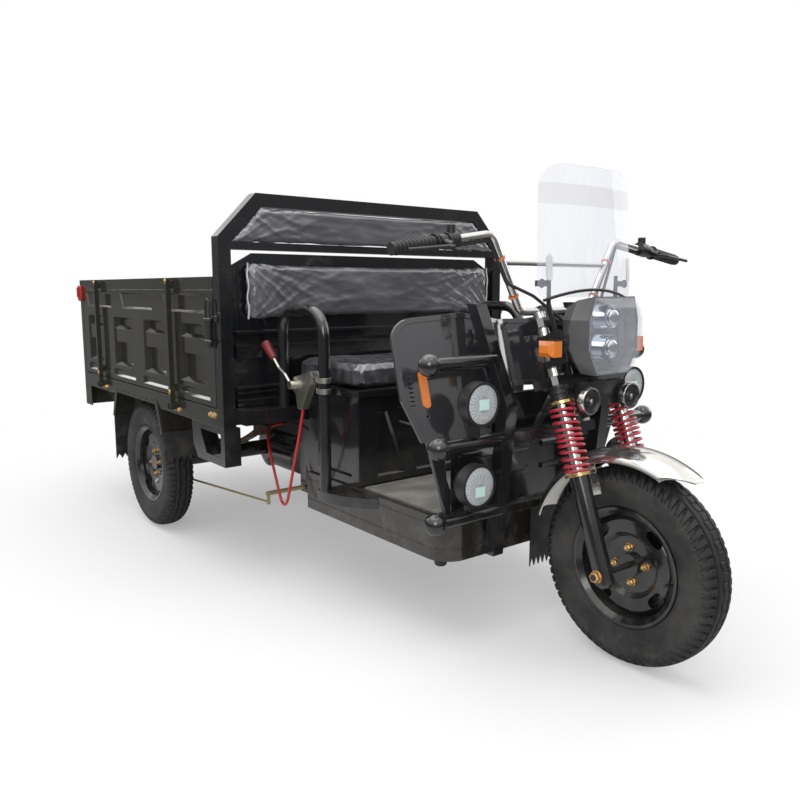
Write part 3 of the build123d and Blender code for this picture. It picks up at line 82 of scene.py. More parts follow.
# Shader graph
class Socket:
    """A shader socket that takes part in arithmetic by adding Math nodes."""

    def __init__(self, graph: "Graph", link: bpy.types.NodeSocket) -> None:
        """Keep the graph and the socket that carries the value."""
        self.graph = graph
        self.link = link

    def maths(self, operation: str, *values: "Socket | float") -> "Socket":
        """Add one Math node.

        Args:
            operation: Blender's name of the operation.
            values: Sockets or numbers, in the node's order.

        Returns:
            The node's result.
        """
        return self.graph.node("ShaderNodeMath", {"operation": operation}, dict(enumerate(values)))

    def __add__(self, other: "Socket | float") -> "Socket":
        """Sum."""
        return self.maths("ADD", self, other)

    def __radd__(self, other: float) -> "Socket":
        """Sum with a number on the left."""
        return self.maths("ADD", other, self)

    def __sub__(self, other: "Socket | float") -> "Socket":
        """Difference."""
        return self.maths("SUBTRACT", self, other)

    def __rsub__(self, other: float) -> "Socket":
        """Difference with a number on the left."""
        return self.maths("SUBTRACT", other, self)

    def __mul__(self, other: "Socket | float") -> "Socket":
        """Product."""
        return self.maths("MULTIPLY", self, other)

    def __rmul__(self, other: float) -> "Socket":
        """Product with a number on the left."""
        return self.maths("MULTIPLY", other, self)

    def __abs__(self) -> "Socket":
        """Size without the sign."""
        return self.maths("ABSOLUTE", self)

    def power(self, exponent: float) -> "Socket":
        """Value raised to a number."""
        return self.maths("POWER", self, exponent)

    def sine(self) -> "Socket":
        """Sine of the value in radians."""
        return self.maths("SINE", self)

    def largest(self, other: "Socket | float") -> "Socket":
        """Larger of two values."""
        return self.maths("MAXIMUM", self, other)

    def smallest(self, other: "Socket | float") -> "Socket":
        """Smaller of two values."""
        return self.maths("MINIMUM", self, other)

    def rise(self, low: float, high: float) -> "Socket":
        """Smooth step from 0 below low to 1 above high.

        Args:
            low: Where the step starts.
            high: Where the step ends.

        Returns:
            The step, from 0 to 1.
        """
        settings = {"interpolation_type": "SMOOTHSTEP", "clamp": True}
        return self.graph.node("ShaderNodeMapRange", settings, {0: self, 1: low, 2: high})


class Graph:
    """Shader nodes of one material, each made by the same method."""

    def __init__(self, tree: bpy.types.NodeTree) -> None:
        """Keep the node tree."""
        self.tree = tree

    def node(
        self,
        kind: str,
        settings: dict[str, object] | None = None,
        inputs: dict[int | str, object] | None = None,
        output: int | str = 0,
    ) -> Socket:
        """Add a node, set it and feed its sockets.

        Args:
            kind: Blender's name of the node type.
            settings: The node's own settings, set first.
            inputs: Values or sockets, by the input's number or name.
            output: The output wanted.

        Returns:
            That output.
        """
        made = self.tree.nodes.new(kind)
        for name, value in (settings or {}).items():
            setattr(made, name, value)
        for key, value in (inputs or {}).items():
            if isinstance(value, Socket):
                self.tree.links.new(value.link, made.inputs[key])
            else:
                made.inputs[key].default_value = value
        return Socket(self, made.outputs[output])

    def show(self, surface: Socket, kind: str = "ShaderNodeOutputMaterial") -> None:
        """Link a shader to a new output node."""
        out = self.tree.nodes.new(kind)
        self.tree.links.new(surface.link, out.inputs["Surface"])

    def place(self, stretch: Point = NO_STRETCH) -> Socket:
        """Object coordinates in metres, stretched by a factor on each axis."""
        raw = self.node("ShaderNodeTexCoord", output="Object")
        return self.node("ShaderNodeMapping", None, {"Vector": raw, "Scale": stretch})

    def axis(self, letter: str) -> Socket:
        """One object coordinate in metres."""
        return self.node("ShaderNodeSeparateXYZ", None, {0: self.place()}, letter)

    def facing_up(self) -> Socket:
        """Z of the surface's normal, from -1 to 1."""
        normal = self.node("ShaderNodeNewGeometry", output="Normal")
        return self.node("ShaderNodeSeparateXYZ", None, {0: normal}, "Z")

    def noise(
        self, scale: float, detail: float = 3.0, stretch: Point = NO_STRETCH, bend: float = 0.0
    ) -> Socket:
        """Cloudy noise from 0 to 1.

        Args:
            scale: Clouds in a metre.
            detail: Octaves.
            stretch: Factor on each axis of the coordinates.
            bend: Distortion.

        Returns:
            The noise.
        """
        inputs = {"Vector": self.place(stretch), "Scale": scale, "Detail": detail, "Distortion": bend}
        return self.node("ShaderNodeTexNoise", None, inputs, 0)

    def cells(self, scale: float, feature: str = "F1") -> Socket:
        """Distance, of the kind named by feature, in a field with that many cells in a metre."""
        inputs = {"Vector": self.place(), "Scale": scale}
        return self.node("ShaderNodeTexVoronoi", {"feature": feature}, inputs, "Distance")

    def mix(self, mask: Socket | float, first: Colour | Socket, second: Colour | Socket) -> Socket:
        """Blend two colours.

        Args:
            mask: Share of the second colour.
            first: Colour where the mask is 0.
            second: Colour where the mask is 1.

        Returns:
            The blended colour.
        """
        first, second = [one if isinstance(one, Socket) else (*one, 1.0) for one in (first, second)]
        settings = {"data_type": "RGBA", "clamp_factor": True}
        return self.node("ShaderNodeMix", settings, {0: mask, 6: first, 7: second}, 2)

    def bump(self, height: Socket, depth: float, normal: Socket | None = None) -> Socket:
        """Turn a height into a normal.

        Args:
            height: Height field from 0 to 1.
            depth: Real height in metres.
            normal: Normal that it adds to.

        Returns:
            The normal.
        """
        inputs = {"Height": height, "Distance": depth}
        if normal is not None:
            inputs["Normal"] = normal
        return self.node("ShaderNodeBump", None, inputs)

    def soft_edges(self, radius: float) -> Socket:
        """Normal that rounds the edges of sheet and tube by a radius in metres."""
        return self.node("ShaderNodeBevel", {"samples": 4}, {"Radius": radius})

    def grime(self, amount: float) -> Socket:
        """Dust that lies on upward faces, in clouds, and as splashes near the ground.

        Args:
            amount: How dirty the surface is, from 0 to 1.

        Returns:
            The mask of dust.
        """
        cloud = self.noise(7.0, 8.0)
        film = (cloud * 0.8 + self.facing_up() * 0.25).rise(0.42, 0.85)
        splash = (1.0 - self.axis("Z").rise(0.15, 0.75)) * self.noise(22.0, 6.0).rise(0.42, 0.7)
        speck = self.noise(480.0, 2.0).rise(0.64, 0.72) * cloud.rise(0.35, 0.7)
        return ((film * 0.5 + splash * 0.45 + speck * 0.5) * amount).smallest(1.0)


def fresh_graph(owner: bpy.types.Material | bpy.types.World) -> Graph:
    """Emptied shader graph of a material or a world.

    Args:
        owner: The material or the world.

    Returns:
        The empty graph.
    """
    owner.use_nodes = True
    owner.node_tree.nodes.clear()
    return Graph(owner.node_tree)


# Finishes
@dataclass(frozen=True)
class Finish:
    """A surface finish that can be made into a material."""

    name: str
    colour: Colour

    def inputs(self, graph: Graph) -> dict[str, object]:
        """Values of the Principled shader's sockets, by name, with their nodes added to the graph.

        Args:
            graph: Graph of the material.

        Returns:
            Numbers, colours or sockets; each kind of finish gives its own.
        """
        raise NotImplementedError

    def make(self) -> bpy.types.Material:
        """Build the material.

        Returns:
            The material.
        """
        material = bpy.data.materials.new(self.name)
        graph = fresh_graph(material)
        graph.show(graph.node("ShaderNodeBsdfPrincipled", None, self.inputs(graph)))
        return material


@dataclass(frozen=True)
class Paint(Finish):
    """Glossy sprayed paint with orange peel, dust and faint streaks."""

    roughness: float = 0.16
    dirt: float = 0.35
    peel: float = 0.00012
    coat: float = 0.6

    def inputs(self, graph: Graph) -> dict[str, object]:
        """Values of the shader's sockets.

        Args:
            graph: Graph of the material.

        Returns:
            Values or sockets, by the name of the shader's socket.
        """
        dust = graph.grime(self.dirt)
        streak = graph.noise(60.0, 4.0, (1.0, 1.0, 0.08)).rise(0.5, 0.8) * 0.08
        shade = graph.mix(graph.noise(9.0, 5.0), tuple(c * 0.75 for c in self.colour), self.colour)
        peel = graph.bump(graph.noise(190.0, 2.0), self.peel, graph.soft_edges(0.0016))
        return {
            "Base Color": graph.mix(dust, shade, DUST),
            "Roughness": self.roughness + dust * 0.55 + streak,
            "Coat Weight": self.coat,
            "Coat Roughness": 0.06,
            "Normal": peel,
        }


@dataclass(frozen=True)
class Metal(Finish):
    """Plated or polished metal with stains and a brushed or rusty share."""

    stain: Colour = (0.35, 0.24, 0.12)
    stained: float = 0.2
    roughness: float = 0.1
    grain: float = 0.00004

    def inputs(self, graph: Graph) -> dict[str, object]:
        """Values of the shader's sockets.

        Args:
            graph: Graph of the material.

        Returns:
            Values or sockets, by the name of the shader's socket.
        """
        patch = graph.noise(16.0, 7.0).rise(0.45, 0.8) * self.stained
        dust = graph.grime(0.25)
        colour = graph.mix(patch, self.colour, self.stain)
        fine = graph.noise(700.0, 2.0)
        return {
            "Base Color": graph.mix(dust, colour, DUST),
            "Metallic": 1.0 - dust * 0.8,
            "Roughness": self.roughness + patch * 0.5 + dust * 0.4 + fine * 0.05,
            "Normal": graph.bump(fine, self.grain, graph.soft_edges(0.0012)),
        }


@dataclass(frozen=True)
class Moulded(Finish):
    """Moulded plastic or rubber with a fine grain and dust in it."""

    roughness: float = 0.45
    grain: float = 0.0001
    pitch: float = 900.0
    dirt: float = 0.4
    coat: float = 0.0

    def inputs(self, graph: Graph) -> dict[str, object]:
        """Values of the shader's sockets.

        Args:
            graph: Graph of the material.

        Returns:
            Values or sockets, by the name of the shader's socket.
        """
        dust = graph.grime(self.dirt)
        grain = graph.noise(self.pitch, 2.0)
        shade = graph.mix(graph.noise(14.0, 5.0), tuple(c * 0.7 for c in self.colour), self.colour)
        return {
            "Base Color": graph.mix(dust, shade, DUST),
            "Roughness": self.roughness + dust * 0.3 + graph.noise(30.0, 4.0) * 0.1,
            "Coat Weight": self.coat,
            "Coat Roughness": 0.08,
            "Normal": graph.bump(grain, self.grain, graph.soft_edges(0.001)),
        }


@dataclass(frozen=True)
class TyreRubber(Finish):
    """Tyre rubber: clean dark tread, dusty sidewall with scuffs."""

    hub: Point = FRONT_AXLE

    def inputs(self, graph: Graph) -> dict[str, object]:
        """Values of the shader's sockets.

        Args:
            graph: Graph of the material.

        Returns:
            Values or sockets, by the name of the shader's socket.
        """
        x, z = graph.axis("X") - self.hub[0], graph.axis("Z") - self.hub[2]
        radius = (x * x + z * z).power(0.5)
        wall = 1.0 - radius.rise(0.238, 0.262)
        cloud = graph.noise(11.0, 8.0).rise(0.32, 0.75)
        scuff = graph.noise(45.0, 6.0).rise(0.52, 0.7)
        low = 1.0 - graph.axis("Z").rise(0.0, 0.12)
        dust = (wall * (cloud * 0.26 + 0.04) + scuff * 0.08 + low * scuff * 0.25).smallest(1.0)
        ripple = (radius * 1500.0).sine() * 0.5 + 0.5
        height = graph.noise(800.0, 3.0) * 0.6 + ripple * wall * 0.25
        return {
            "Base Color": graph.mix(dust, self.colour, (0.13, 0.125, 0.115)),
            "Roughness": 0.58 + dust * 0.35 + graph.noise(60.0, 4.0) * 0.1,
            "Normal": graph.bump(height, 0.0002),
        }


@dataclass(frozen=True)
class WrappedVinyl(Finish):
    """Grey vinyl under a creased clear wrap, with a painted highlight along its folds and on its upward faces.
    """

    flow: Point = (1.0, 0.22, 1.0)

    def inputs(self, graph: Graph) -> dict[str, object]:
        """Values of the shader's sockets.

        Args:
            graph: Graph of the material.

        Returns:
            Values or sockets, by the name of the shader's socket.
        """
        fold = graph.noise(16.0, 2.0, self.flow, 0.5)
        # Painted highlight: the colour is lighter along the folds' ridges and on upward faces, where the light
        # falls.
        fold_and_top_highlight = fold.rise(0.35, 0.75) * 0.16 + graph.facing_up() * 0.10
        grain = graph.cells(700.0)
        wrap = graph.bump(fold, 0.0014, graph.bump(graph.noise(70.0, 3.0), 0.0003))
        return {
            # The base colour carries the painted highlight along the folds and on top.
            "Base Color": graph.mix(fold_and_top_highlight, self.colour, (0.36, 0.36, 0.39)),
            "Roughness": 0.24 + graph.noise(60.0, 4.0) * 0.12,
            "Coat Weight": 1.0,
            "Coat Roughness": 0.09,
            "Normal": graph.bump(grain, 0.00010, wrap),
        }


@dataclass(frozen=True)
class Clear(Finish):
    """Clear sheet or lens: thin tint in the middle, denser at its edges."""

    tint: float = 0.10
    edge: float = 0.55
    scratches: float = 0.00002

    def inputs(self, graph: Graph) -> dict[str, object]:
        """Values of the shader's sockets.

        Args:
            graph: Graph of the material.

        Returns:
            Values or sockets, by the name of the shader's socket.
        """
        rim = graph.node("ShaderNodeLayerWeight", None, {"Blend": 0.32}, "Facing")
        smear = graph.noise(18.0, 6.0, (1.0, 1.0, 0.3)).rise(0.45, 0.8)
        return {
            "Base Color": graph.mix(smear * 0.4, self.colour, (0.55, 0.55, 0.58)),
            "Roughness": 0.04 + smear * 0.12,
            "Alpha": (self.tint + smear * 0.05 + rim.power(2.0) * self.edge).smallest(1.0),
            "Normal": graph.bump(graph.noise(260.0, 2.0), self.scratches),
        }


@dataclass(frozen=True)
class ScreenSheet(Clear):
    """Clear windscreen with a faint tinted band across its upper part."""

    band: tuple[float, float] = (1.245, 1.300)

    def inputs(self, graph: Graph) -> dict[str, object]:
        """Values of the shader's sockets.

        Args:
            graph: Graph of the material.

        Returns:
            Values or sockets, by the name of the shader's socket.
        """
        values = super().inputs(graph)
        z = graph.axis("Z")
        low, high = self.band
        stripe = z.rise(low - 0.002, low + 0.002) * (1.0 - z.rise(high - 0.002, high + 0.002))
        streak = graph.noise(120.0, 5.0, (1.0, 1.0, 0.06)).rise(0.5, 0.75)
        values["Alpha"] = values["Alpha"] + stripe * 0.03 + streak * 0.02
        values["Base Color"] = graph.mix(stripe * 0.8, values["Base Color"], (0.42, 0.42, 0.44))
        return values


@dataclass(frozen=True)
class PatternedLens(Finish):
    """Spot lamp lens: crackled rays round a bright block of small lights."""

    places: tuple[float, float, float] = (0.330, 0.4775, 0.7180)

    def inputs(self, graph: Graph) -> dict[str, object]:
        """Values of the shader's sockets.

        Args:
            graph: Graph of the material.

        Returns:
            Values or sockets, by the name of the shader's socket.
        """
        across, low, high = self.places
        y = abs(graph.axis("Y")) - across
        middle = (low + high) / 2
        z = abs(graph.axis("Z") - middle) - (high - low) / 2
        radius = (y * y + z * z).power(0.5)
        angle = z.maths("ARCTAN2", z, y)
        rays = ((angle * 30.0 + graph.noise(60.0, 3.0) * 5.0).sine() * 0.5 + 0.5).power(1.5)
        crack = 1.0 - graph.cells(260.0, "DISTANCE_TO_EDGE").rise(0.0, 0.12)
        ring = radius.rise(0.017, 0.026)
        block = (1.0 - abs(y).rise(0.017, 0.020)) * (1.0 - abs(z).rise(0.013, 0.016))
        dots = ((y * 800.0).sine() * (z * 800.0).sine()).rise(-0.3, 0.6)
        glass = graph.mix(rays * ring * 0.7 + crack * 0.4, (0.26, 0.28, 0.30), (0.86, 0.90, 0.92))
        rim = radius.rise(0.046, 0.050)
        glass = graph.mix(rim * 0.7, glass, (0.55, 0.57, 0.58))
        lit = graph.mix(dots, (0.30, 0.46, 0.42), (0.80, 0.98, 0.92))
        return {
            "Base Color": graph.mix(block, glass, lit),
            "Roughness": 0.08 + crack * 0.15,
            "Metallic": (1.0 - block) * rays * 0.35,
            "Emission Color": graph.mix(block * dots, (0.0, 0.0, 0.0), (0.55, 0.80, 0.72)),
            "Emission Strength": 0.45,
            "Coat Weight": 0.8,
            "Normal": graph.bump(rays * ring + crack * 0.5, 0.0012),
        }


@dataclass(frozen=True)
class RibbedLens(Finish):
    """Moulded lamp lens with fine upright ribs under a smooth face, the ribs' hollows painted darker as shade,
    and a faint painted glow.
    """

    pitch: float = 0.004
    # Strength of the painted glow.
    glow: float = 0.05

    def inputs(self, graph: Graph) -> dict[str, object]:
        """Values of the shader's sockets.

        Args:
            graph: Graph of the material.

        Returns:
            Values or sockets, by the name of the shader's socket.
        """
        turn = 2 * math.pi / self.pitch
        ribs = (graph.axis("Y") * turn).sine() * (graph.axis("Z") * turn).sine() * 0.5 + 0.5
        # Painted shade: the hollows of the ribs are darker, as if in shade.
        rib_hollow_shade = tuple(c * 0.55 for c in self.colour)
        dust = graph.grime(0.25)
        return {
            "Base Color": graph.mix(dust, graph.mix(ribs, rib_hollow_shade, self.colour), DUST),
            "Roughness": 0.12 + dust * 0.4,
            "Coat Weight": 0.8,
            # Painted glow: a faint light of the lens's own, reflectors included, with the painted rib shade in
            # it.
            "Emission Color": graph.mix(ribs, rib_hollow_shade, self.colour),
            "Emission Strength": self.glow,
            "Normal": graph.bump(ribs, 0.0006, graph.soft_edges(0.002)),
        }


@dataclass(frozen=True)
class SpeckledMat(Finish):
    """Worn floor mat with pale specks, scuffs and a pebbled face."""

    def inputs(self, graph: Graph) -> dict[str, object]:
        """Values of the shader's sockets.

        Args:
            graph: Graph of the material.

        Returns:
            Values or sockets, by the name of the shader's socket.
        """
        speck = graph.cells(330.0).rise(0.28, 0.52)
        scuff = graph.noise(16.0, 9.0, (1.0, 0.5, 1.0)).rise(0.38, 0.66)
        fine = graph.noise(260.0, 5.0).rise(0.4, 0.62)
        tone = graph.mix(scuff * 0.75, self.colour, (0.33, 0.31, 0.28))
        tone = graph.mix(fine * (1.0 - speck) * 0.7, tone, (0.05, 0.048, 0.045))
        return {
            "Base Color": tone,
            "Roughness": 0.55 + scuff * 0.3,
            "Normal": graph.bump(speck * 0.6 + fine * 0.4, 0.0009),
        }


class Finishes:
    """All the finishes, made once and shared."""

    def __init__(self) -> None:
        """Make every material."""
        kinds = (
            Paint("black_paint", (0.010, 0.0105, 0.012), dirt=0.25),
            Paint("bed_paint", (0.026, 0.0255, 0.0195), roughness=0.15, dirt=0.22),
            Paint("floor_paint", (0.017, 0.0145, 0.0115), roughness=0.22, dirt=0.38),
            Paint("shield_plastic", (0.034, 0.035, 0.039), roughness=0.10, dirt=0.12, peel=0.00003, coat=0.9),
            Paint("red_spring", (0.46, 0.012, 0.035), roughness=0.20, dirt=0.30),
            Paint("tan_rod", (0.33, 0.26, 0.13), roughness=0.4, dirt=0.4, coat=0.1),
            Metal("chrome", (0.66, 0.65, 0.62), stained=0.18, roughness=0.07),
            Metal("zinc", (0.50, 0.49, 0.43), stained=0.3, roughness=0.28, grain=0.00012),
            Metal("gold_zinc", (0.68, 0.46, 0.20), stain=(0.42, 0.18, 0.10), stained=0.6, roughness=0.22),
            Metal("lamp_chrome", (0.62, 0.66, 0.72), stained=0.05, roughness=0.05),
            Metal("rusty_steel", (0.16, 0.12, 0.09), stain=(0.20, 0.08, 0.03), stained=0.9, roughness=0.5),
            Moulded("rubber", (0.013, 0.013, 0.013), roughness=0.52),
            Moulded("black_plastic", (0.014, 0.014, 0.015), roughness=0.33, dirt=0.3),
            Moulded("grey_plastic", (0.082, 0.083, 0.085), 0.30, 0.00008, dirt=0.18, coat=0.25),
            Moulded("reflector_silver", (0.25, 0.26, 0.28), roughness=0.22, dirt=0.05, coat=0.4),
            Moulded("wrap_edge", (0.55, 0.55, 0.57), roughness=0.35, dirt=0.1, coat=0.3),
            Moulded("red_latch", (0.42, 0.03, 0.02), roughness=0.4, dirt=0.2),
            Moulded("boss_white", (0.72, 0.73, 0.76), roughness=0.3, dirt=0.05),
            Moulded("maroon", (0.20, 0.018, 0.022), roughness=0.42),
            Moulded("red_cable", (0.52, 0.010, 0.012), roughness=0.32, dirt=0.25, coat=0.3),
            Moulded("blue_case", (0.03, 0.045, 0.07), roughness=0.4),
            Moulded("orange_tie", (0.72, 0.20, 0.06), roughness=0.4, dirt=0.2),
            WrappedVinyl("vinyl", (0.072, 0.073, 0.082), flow=(1.0, 0.4, 1.0)),
            WrappedVinyl("seat_vinyl", (0.040, 0.041, 0.046), flow=(0.8, 0.7, 1.0)),
            Clear("clear", (0.84, 0.87, 0.92), tint=0.05, edge=0.4),
            ScreenSheet("screen", (0.72, 0.74, 0.86), tint=0.15, edge=0.5),
            PatternedLens("spot_lens", (0.7, 0.72, 0.73)),
            RibbedLens("amber", (0.85, 0.22, 0.015)),
            RibbedLens("red_plastic", (0.45, 0.02, 0.015)),
            SpeckledMat("mat", (0.17, 0.16, 0.145)),
        )
        self.made = {kind.name: kind.make() for kind in kinds}

    def put(self, piece: bpy.types.Object, name: str) -> None:
        """Give a piece one finish."""
        piece.data.materials.clear()
        piece.data.materials.append(self.made[name])

    def declare(
        self, piece: bpy.types.Object, finish: str, body: str, replaced: str = ""
    ) -> None:
        """Give a new piece its finish and body, and put it in place of a solid.

        Args:
            piece: The new piece.
            finish: Name of its finish.
            body: Body that it rides on.
            replaced: Node of the solid that it stands for, if any.
        """
        self.put(piece, finish)
        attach(piece, body)
        if replaced:
            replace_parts(piece, replaced)
        log.info("%s: %s on %s", piece.name, finish, body)


# Meshes
class Skin:
    """Gathers grids of points into one mesh of quads."""

    def __init__(self) -> None:
        """Start with no points."""
        self.points: list[np.ndarray] = []
        self.quads: list[np.ndarray] = []
        self.count = 0

    def grid(self, points: np.ndarray, round_rows: bool = False, round_columns: bool = False) -> "Skin":
        """Add a grid: cell (i, j) spans points (i, j), (i + 1, j), (i + 1, j + 1) and (i, j + 1).

        Args:
            points: Array of rows by columns by 3.
            round_rows: Join the last row to the first.
            round_columns: Join the last column to the first.

        Returns:
            The skin itself.
        """
        rows, columns = points.shape[:2]
        index = np.arange(rows * columns).reshape(rows, columns)
        if round_rows:
            index = np.concatenate([index, index[:1]], axis=0)
        if round_columns:
            index = np.concatenate([index, index[:, :1]], axis=1)
        corners = (index[:-1, :-1], index[1:, :-1], index[1:, 1:], index[:-1, 1:])
        self.quads.append(np.stack([corner.ravel() for corner in corners], axis=1) + self.count)
        self.points.append(points.reshape(-1, 3))
        self.count += rows * columns
        return self

    def lathe(self, profile: np.ndarray, centre: Point, axis: Point, sides: int = 32) -> "Skin":
        """Add a turned shape: each profile point goes round the axis at its radius.

        Args:
            profile: Rows of distance along the axis and radius, both ends at radius 0 or closed.
            centre: Point on the axis at distance 0.
            axis: Direction of the axis.
            sides: Steps round the axis.

        Returns:
            The skin itself.
        """
        along, first, second = framed(axis)
        turn = np.linspace(0, 2 * math.pi, sides, endpoint=False)
        ring = np.cos(turn)[:, None] * first + np.sin(turn)[:, None] * second
        profile = np.asarray(profile, float)
        points = np.asarray(centre) + profile[:, None, :1] * along + profile[:, None, 1:] * ring
        return self.grid(points, round_columns=True)

    def tube(self, path: np.ndarray, radius: float, sides: int = 10, side: Point = (0.0, 0.0, 1.0)) -> "Skin":
        """Add a round tube: a circle square to the path at each of its points, closed at both ends.

        Args:
            path: Rows of points.
            radius: Radius of the circle.
            sides: Steps round the circle.
            side: Direction that the path never runs along.

        Returns:
            The skin itself.
        """
        ahead = np.gradient(path, axis=0)
        ahead /= np.linalg.norm(ahead, axis=1, keepdims=True)
        first = np.cross(ahead, side)
        first /= np.linalg.norm(first, axis=1, keepdims=True)
        second = np.cross(ahead, first)
        turn = np.linspace(0, 2 * math.pi, sides, endpoint=False)[None, :, None]
        rings = path[:, None] + radius * (np.cos(turn) * first[:, None] + np.sin(turn) * second[:, None])
        ends = [np.repeat(path[end][None, None], sides, axis=1) for end in (0, -1)]
        return self.grid(np.concatenate([ends[0], rings, ends[1]]), round_columns=True)

    def plate(
        self,
        outline: np.ndarray,
        centre: Point,
        axis: Point,
        thick: float,
        bevel: float = 0.0005,
        upright: Point | None = None,
    ) -> "Skin":
        """Add a slab: an outline in the plane square to the axis, closed by fans, its edges bevelled.

        Args:
            outline: Rows of two distances, star-shaped round the origin.
            centre: Middle of the back face.
            axis: Direction from the back face to the front one.
            thick: Thickness.
            bevel: Width of the bevel.
            upright: Direction of the outline's second distance.

        Returns:
            The skin itself.
        """
        along, first, second = framed(axis, upright)
        outline = np.asarray(outline, float)
        size = np.abs(outline).max()
        inner = outline * (1 - bevel / size)
        steps = ((0.0, outline * 0), (0.0, inner), (bevel, outline), (thick - bevel, outline))
        steps += ((thick, inner), (thick, outline * 0))
        rows = [np.asarray(centre) + along * h + o[:, :1] * first + o[:, 1:] * second for h, o in steps]
        return self.grid(np.stack(rows), round_columns=True)

    def mirrored(self) -> "Skin":
        """Add the mirror image across Y = 0 of all that is there.

        Returns:
            The skin itself.
        """
        self.quads += [quads[:, ::-1] + self.count for quads in list(self.quads)]
        self.points += [points * (1, -1, 1) for points in list(self.points)]
        self.count *= 2
        return self

    def make(self, name: str, smooth: bool = True, angle: float = 40.0) -> bpy.types.Object:
        """Build the object, merge its doubles and turn its faces outwards.

        Args:
            name: Name of the piece.
            smooth: Shade it smooth.
            angle: Edges sharper than this many degrees stay sharp.

        Returns:
            The object, linked to the scene.
        """
        points, quads = np.concatenate(self.points), np.concatenate(self.quads)
        mesh = bpy.data.meshes.new(name)
        mesh.vertices.add(len(points))
        mesh.vertices.foreach_set("co", points.astype(np.float32).ravel())
        mesh.loops.add(quads.size)
        mesh.loops.foreach_set("vertex_index", quads.astype(np.int32).ravel())
        mesh.polygons.add(len(quads))
        mesh.polygons.foreach_set("loop_start", np.arange(0, quads.size, 4, dtype=np.int32))
        mesh.update(calc_edges=True)
        mesh.validate()
        work = bmesh.new()
        work.from_mesh(mesh)
        bmesh.ops.remove_doubles(work, verts=work.verts, dist=1e-6)
        bmesh.ops.recalc_face_normals(work, faces=work.faces)
        work.to_mesh(mesh)
        work.free()
        if smooth:
            mesh.polygons.foreach_set("use_smooth", np.ones(len(mesh.polygons), bool))
            mesh.set_sharp_from_angle(angle=math.radians(angle))
        piece = bpy.data.objects.new(name, mesh)
        bpy.context.scene.collection.objects.link(piece)
        return piece


def framed(axis: Point, upright: Point | None = None) -> tuple[np.ndarray, np.ndarray, np.ndarray]:
    """Unit vector along an axis and two square to it.

    Args:
        axis: Direction wanted.
        upright: Direction that the second one leans towards.

    Returns:
        The axis, the first and the second square direction.
    """
    along = np.asarray(axis, float)
    along = along / np.linalg.norm(along)
    if upright is None:
        upright = (0.0, 0.0, 1.0) if abs(along[2]) < 0.9 else (1.0, 0.0, 0.0)
    first = np.cross(upright, along)
    first /= np.linalg.norm(first)
    return along, first, np.cross(along, first)


def steered(across: float, ahead: float, along: float) -> Point:
    """Place given in the fork's own frame.

    Args:
        across: Distance to the left of the wheel's plane.
        ahead: Distance ahead of the legs' axis.
        along: Distance up the legs from the axle.

    Returns:
        The point in the tricycle's frame.
    """
    x = FRONT_AXLE[0] + ahead * math.cos(RAKE) - along * math.sin(RAKE)
    z = FRONT_AXLE[2] + ahead * math.sin(RAKE) + along * math.cos(RAKE)
    return x, across, z


def fork_axis() -> Point:
    """Direction up the fork's legs."""
    return tuple(np.subtract(steered(0, 0, 1), steered(0, 0, 0)))


def step(value: np.ndarray, low: float, high: float) -> np.ndarray:
    """Smooth step of an array from 0 at low to 1 at high."""
    share = np.clip((value - low) / (high - low), 0, 1)
    return share * share * (3 - 2 * share)


def hexagon(across_flats: float) -> np.ndarray:
    """Outline of a hexagon with a given width across its flats.

    Args:
        across_flats: Width across its flats.

    Returns:
        Rows of two distances.
    """
    turn = np.arange(6) * math.pi / 3
    radius = across_flats / math.sqrt(3)
    return radius * np.stack([np.cos(turn), np.sin(turn)], axis=1)


def disc(low: float, high: float, radius: float) -> list[tuple[float, float]]:
    """Profile of a disc between two distances along its axis."""
    return [(low, 0.0), (low, radius), (high, radius), (high, 0.0)]


def collar(low: float, high: float, inner: float, outer: float) -> list[tuple[float, float]]:
    """Profile of a ring between two distances along its axis and two radii."""
    return [(low, inner), (low, outer), (high, outer), (high, inner), (low, inner)]


def capsule(length: float, width: float, sides: int = 24) -> np.ndarray:
    """Upright outline with round ends: a circle of half the width, its halves moved apart.

    Args:
        length: Whole height.
        width: Whole width.
        sides: Points round it.

    Returns:
        Rows of two distances.
    """
    turn = (np.arange(sides) + 0.5) * 2 * math.pi / sides
    circle = width / 2 * np.stack([np.cos(turn), np.sin(turn)], axis=1)
    circle[:, 1] += np.sign(circle[:, 1]) * (length - width) / 2
    return circle


def rounded(width: float, height: float, corner: float, steps: int = 5) -> np.ndarray:
    """Rectangle with round corners.

    Args:
        width: Whole width.
        height: Whole height.
        corner: Radius of the corners.
        steps: Points on each corner.

    Returns:
        Rows of two distances.
    """
    turn = (np.arange(4)[:, None] + np.linspace(0, 1, steps)) * math.pi / 2
    signs = np.array([(1, 1), (-1, 1), (-1, -1), (1, -1)])[:, None]
    middle = signs * (width / 2 - corner, height / 2 - corner)
    return (middle + corner * np.stack([np.cos(turn), np.sin(turn)], axis=-1)).reshape(-1, 2)


